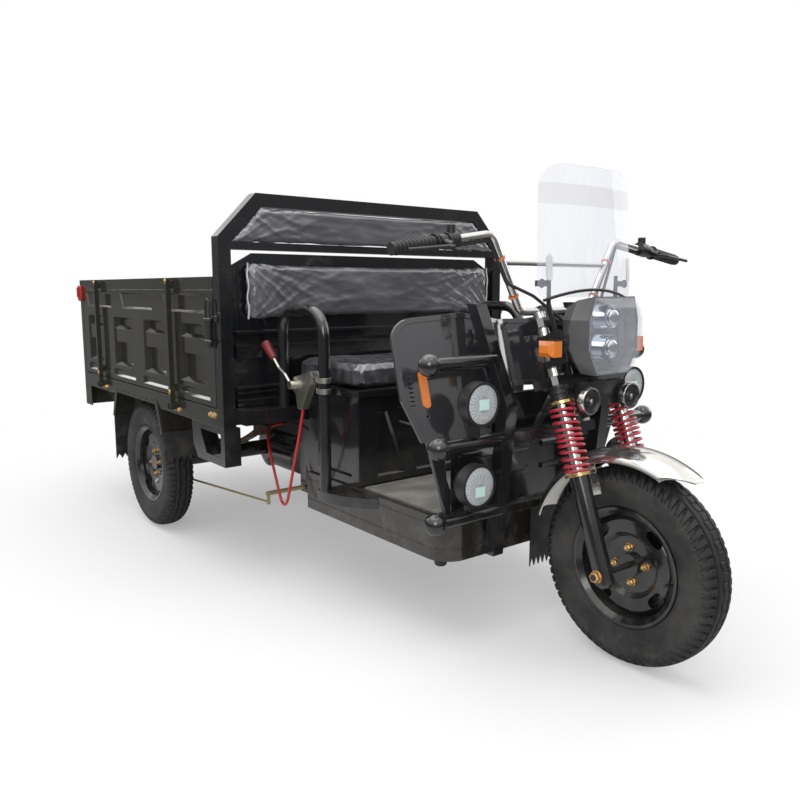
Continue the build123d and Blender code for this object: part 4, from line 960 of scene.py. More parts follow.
# Studio
@dataclass
class Studio:
    """Pale floor, soft lamps and the camera at the photograph's place."""

    eye: Point = (2.4294, -1.7332, 1.0237)
    azimuth: float = 51.97
    elevation: float = 8.36
    lens: float = 34.18
    floor_half: float = 60.0
    aim: Point = (0.1, 0.0, 0.5)
    world_light: float = 0.62
    mirrored_low: float = 0.14
    mirrored_gain: float = 1.35
    floor_mirrored: float = 0.18
    lamps: tuple[tuple[str, Point, float, float], ...] = (
        ("overhead", (0.4, -0.6, 4.2), 4.5, 95.0),
        ("front_soft", (4.2, -3.2, 2.6), 2.6, 60.0),
        ("left_soft", (1.5, 4.6, 2.4), 2.4, 36.0),
        ("rear_soft", (-4.6, -1.6, 2.8), 2.6, 34.0),
    )

    def camera(self) -> None:
        """Make the camera and set it as the scene's own."""
        turn, lift = math.radians(self.azimuth), math.radians(self.elevation)
        back = Vector((math.sin(turn) * math.cos(lift), -math.cos(turn) * math.cos(lift), math.sin(lift)))
        data = bpy.data.cameras.new("camera")
        data.lens = self.lens
        data.sensor_width = 36.0
        data.clip_start, data.clip_end = 0.05, 500.0
        eye = bpy.data.objects.new("camera", data)
        eye.location = self.eye
        eye.rotation_mode = "QUATERNION"
        eye.rotation_quaternion = (-back).to_track_quat("-Z", "Y")
        bpy.context.scene.collection.objects.link(eye)
        bpy.context.scene.camera = eye

    def world(self) -> None:
        """Light the object dimly from all round, with a sky that is white to the camera and through glass.

        In reflections the sky goes from dark at the horizon to bright overhead.
        """
        world = bpy.data.worlds.new("sky")
        bpy.context.scene.world = world
        graph = fresh_graph(world)
        seen = graph.node("ShaderNodeLightPath", output="Is Camera Ray")
        glossy = graph.node("ShaderNodeLightPath", output="Is Glossy Ray")
        through = graph.node("ShaderNodeLightPath", output="Is Transmission Ray")
        shown = seen.largest(through)
        lift = self.mirrored_low + graph.axis("Z").rise(0.0, 0.7) * self.mirrored_gain
        hidden = self.world_light + glossy * (lift - self.world_light)
        strength = hidden + shown * (1.0 - hidden)
        sky = graph.node("ShaderNodeBackground", None, {"Color": WHITE, "Strength": strength})
        graph.show(sky, "ShaderNodeOutputWorld")

    def lights(self) -> None:
        """Hang large soft lamps round the object, each turned to its middle."""
        for name, place, size, power in self.lamps:
            data = bpy.data.lights.new(name, "AREA")
            data.shape = "DISK"
            data.size = size
            data.energy = power
            lamp = bpy.data.objects.new(name, data)
            lamp.location = place
            lamp.rotation_mode = "QUATERNION"
            lamp.rotation_quaternion = (Vector(self.aim) - Vector(place)).to_track_quat("-Z", "Y")
            bpy.context.scene.collection.objects.link(lamp)

    def floor(self) -> None:
        """Lay a pale floor that fades into the white sky away from the object."""
        half = self.floor_half
        steps = np.linspace(-half, half, 3)
        points = np.stack(np.meshgrid(steps, steps, [0.0], indexing="ij"), axis=-1)[:, :, 0]
        piece = Skin().grid(points).make("floor", smooth=False)
        material = bpy.data.materials.new("floor")
        graph = fresh_graph(material)
        x, y = graph.axis("X"), graph.axis("Y")
        radius = (x * x + y * y).power(0.5)
        speck = graph.noise(90.0, 4.0) * 0.02
        tone = graph.mix(speck, (0.96, 0.96, 0.96), (0.88, 0.88, 0.88))
        near = graph.node("ShaderNodeBsdfDiffuse", None, {"Color": tone})
        glossy = graph.node("ShaderNodeLightPath", output="Is Glossy Ray")
        shine = 1.0 - glossy * (1.0 - self.floor_mirrored)
        far = graph.node("ShaderNodeEmission", None, {"Color": WHITE, "Strength": shine})
        fade = 0.30 + radius.rise(1.3, 3.6) * 0.70
        graph.show(graph.node("ShaderNodeMixShader", None, {0: fade, 1: near, 2: far}))
        piece.data.materials.append(material)

    def build(self) -> None:
        """Make the whole studio."""
        self.camera()
        self.world()
        self.lights()
        self.floor()
        bpy.context.scene.view_settings.view_transform = "Standard"
        log.info("studio: camera, sky, %d lamps and floor", len(self.lamps))


# Cables
@dataclass
class Cable:
    """A control cable fixed at both ends, on one smooth line drawn by the route's points."""

    name: str
    body: str
    points: tuple[Point, ...]
    radius: float
    slot: str
    length: float

    def build(self, finishes: Finishes) -> bpy.types.Object:
        """Args:
            finishes: The shared finishes.

        Returns:
            The cable.
        """
        data = bpy.data.curves.new(self.name, "CURVE")
        data.dimensions = "3D"
        data.resolution_u = 8
        data.bevel_depth = self.radius
        data.bevel_resolution = 3
        data.use_fill_caps = True
        line = data.splines.new("NURBS")
        line.points.add(len(self.points) - 1)
        line.points.foreach_set("co", np.array([(*point, 1.0) for point in self.points]).ravel())
        line.order_u = 3
        line.use_endpoint_u = True
        piece = bpy.data.objects.new(self.name, data)
        bpy.context.scene.collection.objects.link(piece)
        finishes.declare(piece, self.slot, self.body)
        2 * self.radius
        return piece


@dataclass
class Cables:
    """The parking cable and the two brake cables of the handlebar."""

    hoop_x: float = 0.395
    bar_x: float = 0.949
    rear_x: float = 1.0717
    corner_reach: float = 0.015

    def parking_route(self) -> tuple[Point, ...]:
        """Route of the parking cable from its bracket to the frame rail.

        Returns:
            The line's points.
        """
        x = self.hoop_x
        route = ((104, -465, 631), (128, -463, 556), (176, -460, 440), (215, -456, 345), (250, -452, 268))
        route += ((292, -450, 268), (330, -447, 345), (385, -440, 430), (450, -415, 490), (500, -380, 512))
        route += ((500, -325.3, 512),)
        return tuple((x - back / 1000, y / 1000, z / 1000) for back, y, z in route)

    def bar_route(self, side: Side) -> tuple[Point, ...]:
        """Route of one brake cable: clipped under the bar, then down into the headlight's rear.

        Args:
            side: Which half of the bar it follows.

        Returns:
            The line's points, with one more on each side of every corner.
        """
        bar, rear = self.bar_x, self.rear_x
        corners = ((bar, 0.385, 1.1343), (bar, 0.274, 1.1507), (bar + 0.010, 0.216, 1.038))
        corners += ((bar + 0.050, 0.150, 1.003), (rear - 0.032, 0.076, 0.938), (rear, 0.076, 0.938))
        places = np.array(corners) * (1.0, side.value, 1.0)
        steps = np.diff(places, axis=0)
        steps = steps / np.linalg.norm(steps, axis=1, keepdims=True) * self.corner_reach
        before, after = places[1:-1] - steps[:-1], places[1:-1] + steps[1:]
        bent = np.stack([before, places[1:-1], after], axis=1).reshape(-1, 3)
        return tuple(map(tuple, np.concatenate([places[:1], bent, places[-1:]]).tolist()))

    def build(self, finishes: Finishes) -> None:
        """Make the cables, each in place of its plain solid.

        Args:
            finishes: The shared finishes.
        """
        parking = Cable("parking_cable", "chassis", self.parking_route(), 0.005, "red_cable", 0.82)
        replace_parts(parking.build(finishes), "brake_cable")
        for side in Side:
            name = f"bar_cable_{side.name.lower()}"
            cable = Cable(name, "steering", self.bar_route(side), 0.0045, "rubber", 0.46)
            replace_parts(cable.build(finishes), "bar_cables")


# Wheels
@dataclass
class Tyre:
    """A tyre with a zig-zag centre rib, transverse shoulder lugs and ringed sidewalls."""

    node: str
    body: str
    hub: Point
    half_width: float = 0.0572
    waist_radius: float = 0.222
    bead_radius: float = 0.168
    lugs: int = 66
    around: int = 660
    tread_steps: int = 104
    wall_steps: int = 15
    groove_depth: float = 0.0095
    oval_power: float = 0.74
    wall_reach: float = 0.069
    rib_half: float = 0.0125
    rib_swing: float = 0.0028
    block_edge: float = 0.030
    ring_angles: tuple[float, float, float] = (1.52, 1.72, 2.10)
    ring_width: float = 0.022
    ring_height: float = 0.0007
    wall_from: float = 1.2
    bead_share: float = 0.78
    bead_depth: float = 0.004

    def section(self) -> tuple[np.ndarray, np.ndarray, np.ndarray]:
        """Cross-section: a squarish oval, its inner part longer towards the bead.

        Returns:
            Angle from the crown, distance across and radius, each an array.
        """
        wall = np.radians(np.linspace(80, 137, self.wall_steps))
        tread = np.radians(np.linspace(-78, 78, self.tread_steps))
        angle = np.concatenate([-wall[::-1], tread, wall])
        across = self.half_width * np.sign(angle) * np.abs(np.sin(angle)) ** self.oval_power
        lift = np.sign(np.cos(angle)) * np.abs(np.cos(angle)) ** self.oval_power
        reach = np.where(lift > 0, TYRE_RADIUS - self.waist_radius, self.wall_reach)
        return angle, across, self.waist_radius + reach * lift

    def grooves(self, turn: np.ndarray, angle: np.ndarray, across: np.ndarray) -> np.ndarray:
        """Depth below the casing: two zig-zag grooves, wedge cuts between lugs, fine cuts and sidewall rings.

        Args:
            turn: Angle round the wheel.
            angle: Angle from the crown in the cross-section.
            across: Distance from the wheel's plane.

        Returns:
            Depth at each point, in metres.
        """
        lap = turn * self.lugs / (2 * math.pi)
        zigzag = np.abs((lap * 0.5) % 1 - 0.5) * 4 - 1
        depth = np.zeros(np.broadcast(turn, angle).shape)
        for side in (-1, 1):
            centre = side * self.rib_half + self.rib_swing * zigzag
            depth = np.maximum(depth, 0.8 * (1 - step(np.abs(across - centre), 0.0012, 0.0028)))
        shoulder = np.abs(angle)
        offset = np.where(angle > 0, 0.0, 0.5)
        slant = np.clip(shoulder - 0.6, 0, 1) * 0.7
        phase = np.abs((lap + offset + slant) % 1 - 0.5) * 2
        width = 0.22 + 0.26 * step(shoulder, 0.55, 1.25)
        cut = (1 - step(phase, width, width + 0.16)) * step(shoulder, 0.42, 0.52)
        cut *= 1 - step(shoulder, 1.22, 1.40)
        depth = np.maximum(depth, cut)
        sipe_phase = np.abs((lap + 0.25) % 1 - 0.5) * 2
        sipe = 0.45 * (1 - step(sipe_phase, 0.05, 0.16)) * (1 - step(np.abs(across), 0.008, 0.011))
        depth = np.maximum(depth, sipe)
        edge = 0.5 * (1 - step(np.abs(np.abs(across) - self.block_edge), 0.0010, 0.0024))
        depth = np.maximum(depth, edge * (shoulder < 1.0))
        rings = sum(np.exp(-(((shoulder - at) / self.ring_width) ** 2)) for at in self.ring_angles)
        return self.groove_depth * depth - self.ring_height * rings + self.ring_height

    def around_hub(
        self, turn: np.ndarray, across: np.ndarray | float, radius: np.ndarray | float
    ) -> np.ndarray:
        """Points round the hub: x and z are the radius times the cosine and the sine of the turn.

        Args:
            turn: Column of angles round the wheel.
            across: Distance from the wheel's plane.
            radius: Distance from the axle.

        Returns:
            Rows of turns by columns by 3.
        """
        x, z = self.hub[0] + radius * np.cos(turn), self.hub[2] + radius * np.sin(turn)
        return np.stack([x, self.hub[1] + across + 0 * turn, z], axis=-1)

    def build(self, finishes: Finishes) -> None:
        """Make the tyre: grooves go inwards on the tread and sideways on the walls, and it ends at the beads.

        Args:
            finishes: The shared finishes.
        """
        angle, across, radius = self.section()
        turn = np.linspace(0, 2 * math.pi, self.around, endpoint=False)[:, None]
        depth = self.grooves(turn, angle[None], across[None])
        wall = np.abs(angle) > self.wall_from
        wide = across[None] - depth * np.where(wall, np.sign(angle), 0.0)
        tall = radius[None] - depth * np.where(wall, 0.0, 1.0)
        inner = self.bead_radius - self.bead_depth
        beads = [self.around_hub(turn, end * self.bead_share, inner) for end in across[[0, -1]]]
        points = np.concatenate([beads[0], self.around_hub(turn, wide, tall), beads[1]], axis=1)
        skin = Skin().grid(points, round_rows=True, round_columns=True)
        rubber = TyreRubber(f"{self.node}_rubber", (0.0085, 0.0085, 0.009), self.hub)
        finishes.made[rubber.name] = rubber.make()
        piece = skin.make(f"{self.node}_treaded", angle=32)
        finishes.declare(piece, rubber.name, self.body, self.node)


@dataclass
class WheelNuts:
    """Gold nuts on the studs, a black ring behind the rim's windows as painted shade, and the valve of one
    wheel.
    """

    name: str
    body: str
    hub: Point
    outward: int
    circle: float = 0.048
    face: float = 0.0045
    studs: int = 4
    flats: float = 0.017
    valve_radius: float = 0.131
    window_shade_radius: float = 0.1425
    first_nut: float = 8.0
    valve_turn: float = -5.0

    def spot(self, radius: float, degrees: float, out: float = 0.0) -> Point:
        """Place on the wheel.

        Args:
            radius: Distance from the axle.
            degrees: Angle round the wheel.
            out: Distance outwards from the wheel's plane.

        Returns:
            The point.
        """
        turn = math.radians(degrees)
        x, z = self.hub[0] + radius * math.cos(turn), self.hub[2] + radius * math.sin(turn)
        return x, self.hub[1] + self.outward * out, z

    def build(self, finishes: Finishes) -> None:
        """Make the nuts with their studs, the black ring of painted shade behind the rim's windows and the
        valve.

        Args:
            finishes: The shared finishes.
        """
        axis = (0.0, float(self.outward), 0.0)
        nuts = Skin()
        stud = [(0, 0), (0, 0.0052), (0.019, 0.0052), (0.0205, 0.0038), (0.0205, 0)]
        for count in range(self.studs):
            spot = self.spot(self.circle, 360 / self.studs * count + self.first_nut, self.face)
            nuts.plate(hexagon(self.flats), spot, axis, 0.013, 0.0012)
            nuts.lathe(disc(-0.001, 0.0015, 0.0115), spot, axis, 20)
            nuts.lathe(stud, spot, axis, 14)
        # Painted shade: a black ring behind the rim's windows, where the inside of the wheel lies in shade.
        back, front, inner, outer = -0.0080, -0.0065, 0.115, self.window_shade_radius
        window_shade = [(back, inner), (front, inner), (front, outer), (back, outer), (back, inner)]
        shade = Skin().lathe(window_shade, self.hub, axis, 64)
        stem = [(0, 0), (0, 0.0055), (0.012, 0.0045), (0.022, 0.0032), (0.034, 0.0032), (0.034, 0.0042)]
        stem += [(0.044, 0.0042), (0.044, 0)]
        valve = Skin().lathe(stem, self.spot(self.valve_radius, self.valve_turn), axis, 16)
        parts = ((nuts, "nuts", "gold_zinc"), (shade, "window_shade", "black_plastic"), (valve, "valve", "rubber"))
        for skin, part, finish in parts:
            finishes.declare(skin.make(f"{self.name}_{part}"), finish, self.body)


@dataclass
class Wheels:
    """The three wheels' tyres and fastenings."""

    def build(self, finishes: Finishes) -> None:
        """Make the tyre, nuts, painted window shade and valve of each wheel.

        Args:
            finishes: The shared finishes.
        """
        rear_z = FRONT_AXLE[2]
        wheels = (
            ("front", FRONT_AXLE, -1),
            ("rear_left", (REAR_AXLE_X, REAR_WHEEL_Y, rear_z), 1),
            ("rear_right", (REAR_AXLE_X, -REAR_WHEEL_Y, rear_z), -1),
        )
        for name, hub, outward in wheels:
            Tyre(f"{name}_tyre", f"{name}_wheel", hub).build(finishes)
            WheelNuts(name, f"{name}_wheel", hub, outward).build(finishes)


# Seats
@dataclass
class Pad:
    """A stuffed pad: its solid, a little smaller, blown up as cloth and then creased."""

    node: str
    finish: str
    inset: Point
    cap: float
    voxel: float
    crease: float
    upright: Point
    seed: int
    loose: Point = (1.0, 0.15, 0.2)
    reach: float = 0.5
    proud: float = 0.008
    squat: float = 2.6
    fill: float = 0.7
    pressure: float = 4.0
    frames: int = 20
    margin: float = 0.0005
    fans: tuple[tuple[int, float], ...] = ((13, 1.0), (23, 0.7), (39, 0.35))
    corner_gap: float = 0.03

    def start(self) -> bpy.types.Object:
        """Copy the solid, shrink it about its middle and remesh it evenly.

        Returns:
            The pad before it is blown up.
        """
        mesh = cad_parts[self.node].data.copy()
        piece = bpy.data.objects.new(f"{self.node}_stuffed", mesh)
        bpy.context.scene.collection.objects.link(piece)
        work = bmesh.new()
        work.from_mesh(mesh)
        bmesh.ops.remove_doubles(work, verts=work.verts, dist=1e-5)
        bmesh.ops.recalc_face_normals(work, faces=work.faces)
        work.to_mesh(mesh)
        work.free()
        points = read_points(mesh)
        low, high = points.min(0), points.max(0)
        middle, half = (low + high) / 2, (high - low) / 2
        points = middle + (points - middle) * (half - np.asarray(self.inset)) / half
        write_points(mesh, points)
        remesh = piece.modifiers.new("remesh", "REMESH")
        remesh.mode = "VOXEL"
        remesh.voxel_size = self.voxel
        settle(piece)
        return piece

    def inflate(self, piece: bpy.types.Object) -> None:
        """Blow the pad up as cloth, with no point moving further than the cap.

        Args:
            piece: The remeshed pad, whose mesh is changed.
        """
        before = read_points(piece.data)
        cloth = piece.modifiers.new("cloth", "CLOTH")
        cloth.settings.use_pressure = True
        cloth.settings.uniform_pressure_force = self.pressure
        cloth.settings.effector_weights.gravity = 0.0
        cloth.settings.quality = 4
        cloth.collision_settings.use_collision = False
        scene = bpy.context.scene
        for number in range(1, self.frames + 1):
            scene.frame_set(number)
        shape = piece.evaluated_get(bpy.context.evaluated_depsgraph_get())
        after = read_points(shape.data)
        piece.modifiers.clear()
        scene.frame_set(1)
        move = (after - before) * np.asarray(self.loose)
        size = np.linalg.norm(move, axis=1, keepdims=True)
        write_points(piece.data, before + move * self.cap / np.maximum(size, self.cap))

    def wrinkle(self, piece: bpy.types.Object) -> None:
        """Pull folds into the surface: they fan out from each corner of the pad and fade with distance.

        At each corner the fold's height is a ridge, 1 - |sin|, of the angle seen from that corner, bent by a
        slow wave of the distance, times a power of e that falls with the distance.

        Args:
            piece: The pad, whose mesh is changed.
        """
        points = read_points(piece.data)
        normals = read_normals(piece.data)
        across, rise = points[:, 1], points @ np.asarray(self.upright)
        random = np.random.default_rng(self.seed)
        height = np.zeros(len(points))
        for low_y, away in ((across.min(), 1), (across.max(), -1)):
            for low_z, over in ((rise.min(), 1), (rise.max(), -1)):
                out, up = (across - low_y) * away + self.corner_gap, (rise - low_z) * over + self.corner_gap
                distance, angle = np.hypot(out, self.squat * up), np.arctan2(up, out)
                for count, share in self.fans:
                    phase, pitch = random.uniform(0, 6.28), random.uniform(9, 16)
                    wave = 0.5 * np.sin(distance * pitch + phase) + 0.3 * np.sin(distance * pitch * 2.7)
                    ridge = (1 - np.abs(np.sin(angle * count + phase + wave))) ** 1.5
                    height += share * ridge * np.exp(-distance / self.reach)
        height = height / height.max()
        write_points(piece.data, points + normals * (self.crease * (height - 0.5))[:, None])

    def confine(self, piece: bpy.types.Object) -> None:
        """Keep the pad in the room of its solid, flat where it rests, its open face a little proud.

        Args:
            piece: The pad, whose mesh is changed.
        """
        low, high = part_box(self.node)
        slack = np.where(np.asarray(self.loose) > 0.5, self.proud, -self.margin)
        points = np.clip(read_points(piece.data), np.array(low) + self.margin, np.array(high) + slack)
        write_points(piece.data, points)

    def build(self, finishes: Finishes) -> None:
        """Make the pad and put it in place of its solid.

        Args:
            finishes: The shared finishes.
        """
        piece = self.start()
        self.inflate(piece)
        self.wrinkle(piece)
        self.confine(piece)
        smooth = piece.modifiers.new("smooth", "SUBSURF")
        smooth.levels = smooth.render_levels = 1
        settle(piece)
        piece.data.polygons.foreach_set("use_smooth", np.ones(len(piece.data.polygons), bool))
        finishes.declare(piece, self.finish, "chassis", self.node)


def read_rows(source: bpy.types.bpy_prop_collection, name: str) -> np.ndarray:
    """Read one attribute of three numbers from each member of a collection.

    Args:
        source: The collection.
        name: Name of the attribute.

    Returns:
        Rows of three numbers.
    """
    rows = np.empty(len(source) * 3, np.float32)
    source.foreach_get(name, rows)
    return rows.reshape(-1, 3).astype(float)


def read_points(mesh: bpy.types.Mesh) -> np.ndarray:
    """Points of a mesh as an array of rows."""
    return read_rows(mesh.vertices, "co")


def read_normals(mesh: bpy.types.Mesh) -> np.ndarray:
    """Normals of a mesh's points as an array of rows."""
    return read_rows(mesh.vertex_normals, "vector")


def write_points(mesh: bpy.types.Mesh, points: np.ndarray) -> None:
    """Move a mesh's points."""
    mesh.vertices.foreach_set("co", points.astype(np.float32).ravel())
    mesh.update()


def hand_over(skin: Skin, name: str, finish: str, finishes: Finishes) -> None:
    """Make one piece on each side gate, the right one the left one's mirror image across Y = 0.

    Args:
        skin: Shape on the left gate.
        name: Name of the piece, without its side.
        finish: Name of its finish.
        finishes: The shared finishes.
    """
    for side in Side:
        word = side.name.lower()
        piece = skin.make(f"{name}_{word}")
        if side is Side.RIGHT:
            points = read_points(piece.data) * (1, -1, 1)
            piece.data.flip_normals()
            write_points(piece.data, points)
        finishes.declare(piece, finish, f"{word}_gate")


def settle(piece: bpy.types.Object) -> None:
    """Apply a piece's modifiers to its mesh.

    Args:
        piece: The piece.
    """
    shape = piece.evaluated_get(bpy.context.evaluated_depsgraph_get())
    mesh = bpy.data.meshes.new_from_object(shape)
    piece.modifiers.clear()
    piece.data = mesh


@dataclass
class Seats:
    """The three wrapped cushions."""

    pads: tuple[Pad, ...] = (
        Pad("back_cushion", "vinyl", (0.010, 0.006, 0.006), 0.012, 0.0060, 0.010, (0.0, 0.0, 1.0), 3),
        Pad("headrest_cushion", "vinyl", (0.010, -0.003, -0.003), 0.010, 0.0055, 0.009, (0.0, 0.0, 1.0), 8),
        Pad(
            "seat_cushion", "seat_vinyl", (0.010, 0.008, 0.012), 0.014, 0.0065, 0.010, (1.0, 0.0, 0.0), 5,
            loose=(0.15, 0.15, 1.0), reach=0.25, squat=1.0,
        ),
    )

    def build(self, finishes: Finishes) -> None:
        """Make each cushion."""
        for pad in self.pads:
            pad.build(finishes)


# Suspension
@dataclass
class Springs:
    """Red coil springs of round wire between gold seats."""

    across: float = 0.126
    low: float = 0.265
    high: float = 0.472
    seat: float = 0.008
    wire: float = 0.0044
    mean_radius: float = 0.033
    turns: float = 11.0
    inner: float = 0.0175

    def coil(self, side: Side) -> np.ndarray:
        """Centre line of one coil: a helix whose end turns lie closer together.

        Args:
            side: Which fork leg it goes round.

        Returns:
            Rows of points.
        """
        share = np.linspace(0, 1, 470)
        lift = share - 0.018 * np.sin(4 * math.pi * share)
        turn = 2 * math.pi * self.turns * share
        bottom, top = self.low + self.seat + self.wire, self.high - self.seat - self.wire
        along = bottom + (top - bottom) * lift
        ahead = self.mean_radius * np.cos(turn)
        over = side.value * (self.across + self.mean_radius * np.sin(turn))
        x, _, z = steered(0.0, ahead, along)
        return np.stack([x, over, z], axis=1)

    def build(self, finishes: Finishes) -> None:
        """Make both springs and their seats.

        Args:
            finishes: The shared finishes.
        """
        coils, seats = Skin(), Skin()
        axis = fork_axis()
        ring = collar(0, self.seat, self.inner, self.mean_radius + self.wire)
        for side in Side:
            coils.tube(self.coil(side), self.wire, 10, axis)
            for at in (self.low, self.high - self.seat):
                seats.lathe(ring, steered(side.value * self.across, 0, at), axis, 36)
        for skin, name, finish, angle in (
            (coils, "spring_coils", "red_spring", 60),
            (seats, "spring_seats", "gold_zinc", 40),
        ):
            finishes.declare(skin.make(name, angle=angle), finish, "steering", replaced="fork_springs")


# Lamps
@dataclass
class Headlight:
    """Projector lenses and the silver lining of the housing's hollow."""

    back_x: float = 1.1253
    lamps_z: tuple[float, float] = (0.946, 0.864)
    middle_z: float = 0.900
    cheek: float = 0.040
    half_widths: tuple[float, ...] = (0.0785, 0.0975, 0.0975, 0.0605)
    mouth_grows: tuple[float, ...] = (0.003, 0.004, 0.004, 0.003)

    def lining(self) -> np.ndarray:
        """Silver lining of the hollow: eight-sided rings from its back to its mouth, 1 mm thick.

        Each ring holds the points (half width, height) of the housing's section, and the two end rings are
        drawn together at the middle of the back.

        Returns:
            Rows of rings by columns of corners by 3.
        """
        rings = []
        sections = ((0.0006, 0.0, 0.0), (0.0006, 1.0, 0.0), (0.0310, 1.0, 1.0), (0.0310, 0.985, 1.0))
        sections += ((0.0016, 0.985, 0.0), (0.0016, 0.0, 0.0))
        for ahead, size, mouth in sections:
            half = np.array(self.half_widths) + mouth * np.array(self.mouth_grows)
            top, low = 0.0935 + mouth * 0.002, -0.0995 - mouth * 0.004
            high = np.array([top, self.cheek, -self.cheek, low])
            across = np.concatenate([-half, half[::-1]]) * size
            tall = np.concatenate([high, high[::-1]]) * size
            x = np.full(8, self.back_x + ahead)
            rings.append(np.stack([x, across, self.middle_z + tall], axis=1))
        return np.stack(rings)

    def build(self, finishes: Finishes) -> None:
        """Make the two lenses, each a short barrel with a domed front, and the lining.

        Args:
            finishes: The shared finishes.
        """
        lenses = Skin()
        for z in self.lamps_z:
            share = np.linspace(0, math.pi / 2, 8)
            dome = np.stack([0.029 + 0.008 * np.sin(share), 0.0215 * np.cos(share)], axis=1)
            profile = np.concatenate([[(0.0265, 0.0), (0.0265, 0.0215)], dome])
            lenses.lathe(profile, (self.back_x, 0.0, z), Axis.X.value, 32)
        bowl = Skin().grid(self.lining(), round_columns=True)
        parts = ((lenses, "projector_lenses", "lamp_chrome"), (bowl, "lamp_bowl", "reflector_silver"))
        for skin, name, finish in parts:
            finishes.declare(skin.make(name, angle=20), finish, "steering")


@dataclass
class Horns:
    """Chrome rims round the dished horn faces, with a bolt in the middle of each."""

    across: float = 0.089
    z: float = 0.724
    front_x: float = 1.1605
    radius: float = 0.0375
    depth: float = 0.020

    def build(self, finishes: Finishes) -> None:
        """Make the rims and the bolts.

        Args:
            finishes: The shared finishes.
        """
        rims, caps = Skin(), Skin()
        wide, slim = self.radius + 0.0005, self.radius - 0.008
        profile = [(-self.depth, wide - 0.003), (-0.004, wide), (0.001, wide - 0.002), (0.001, wide - 0.005)]
        profile += [(-0.004, slim + 0.001), (-0.0055, slim), (-0.0065, slim), (-self.depth, wide - 0.0045)]
        profile += [(-self.depth, wide - 0.003)]
        rims.lathe(profile, (self.front_x, self.across, self.z), Axis.X.value, 48)
        rims.mirrored()
        bolt = [(0.0, 0.0), (0.0, 0.006), (0.003, 0.006), (0.005, 0.004), (0.005, 0.0)]
        caps.lathe(bolt, (self.front_x - 0.003, self.across, self.z), Axis.X.value, 16)
        caps.mirrored()
        for skin, name, finish in ((rims, "horn_rims", "chrome"), (caps, "horn_bolts", "zinc")):
            finishes.declare(skin.make(name), finish, "steering")


# Fasteners
@dataclass
class Bolts:
    """Gold hexagon bolts of the gates' hinge bars, the bed's side and its front beam."""

    bar_face: float = 0.677
    bar_z: tuple[float, float] = (1.050, 0.640)
    corner_x: tuple[float, float] = (0.012, -0.016)
    corner_z: float = 0.592
    beam_face: float = 0.083
    beam_y: tuple[float, float] = (0.55, 0.49)
    beam_z: float = 0.590
    hinge_z: float = 0.573
    hinge_shift: float = 0.022

    def bolt(self, skin: Skin, place: Point, axis: Point, size: float = 0.013, rise: float = 1.0) -> None:
        """Add one bolt: washer, chamfered hexagon and rounded end.

        Args:
            skin: Where it goes.
            place: Where its axis meets the surface.
            axis: Direction away from the surface.
            size: Width across the flats.
            rise: Share of the usual height.
        """
        skin.lathe(disc(-0.001, 0.0014 * rise, size * 0.78), place, axis, 20)
        high = size * rise
        skin.plate(hexagon(size), place, axis, high * 0.6, 0.0010 * rise)
        tip = [(0.0, 0.0), (0.0, size * 0.28), (high * 0.66, size * 0.28), (high * 0.74, size * 0.18)]
        skin.lathe(tip + [(high * 0.74, 0.0)], place, axis, 12)

    def build(self, finishes: Finishes) -> None:
        """Make the gates' bolts and the fixed ones.

        Args:
            finishes: The shared finishes.
        """
        out = Axis.Y.value
        gate = Skin()
        for x in HINGE_BAR_X:
            for z in self.bar_z:
                self.bolt(gate, (x, self.bar_face, z), out, 0.014, 0.26)
        hand_over(gate, "gate_bolts", "gold_zinc", finishes)
        fixed = Skin()
        for x in self.corner_x:
            self.bolt(fixed, (x, BED_HALF_WIDTH, self.corner_z), out, 0.014)
        for y in self.beam_y:
            self.bolt(fixed, (self.beam_face, y, self.beam_z), Axis.X.value, 0.014)
        for x in HINGE_BAR_X:
            for shift in (-self.hinge_shift, self.hinge_shift):
                self.bolt(fixed, (x + shift, BED_HALF_WIDTH, self.hinge_z), out, 0.013)
        finishes.declare(fixed.mirrored().make("frame_bolts"), "gold_zinc", "chassis")


@dataclass
class AxleNuts:
    """Gold axle bolt heads on the fork legs."""

    across: float = 0.152
    reach: float = 0.016

    def build(self, finishes: Finishes) -> None:
        """Make the heads.

        Args:
            finishes: The shared finishes.
        """
        heads = Skin()
        spot = (FRONT_AXLE[0], self.across, FRONT_AXLE[2])
        axis = Axis.Y.value
        heads.lathe(disc(0.0, 0.0025, 0.017), spot, axis, 28)
        heads.plate(hexagon(0.026), spot, axis, self.reach, 0.0018)
        finishes.declare(heads.mirrored().make("axle_heads"), "gold_zinc", "steering")


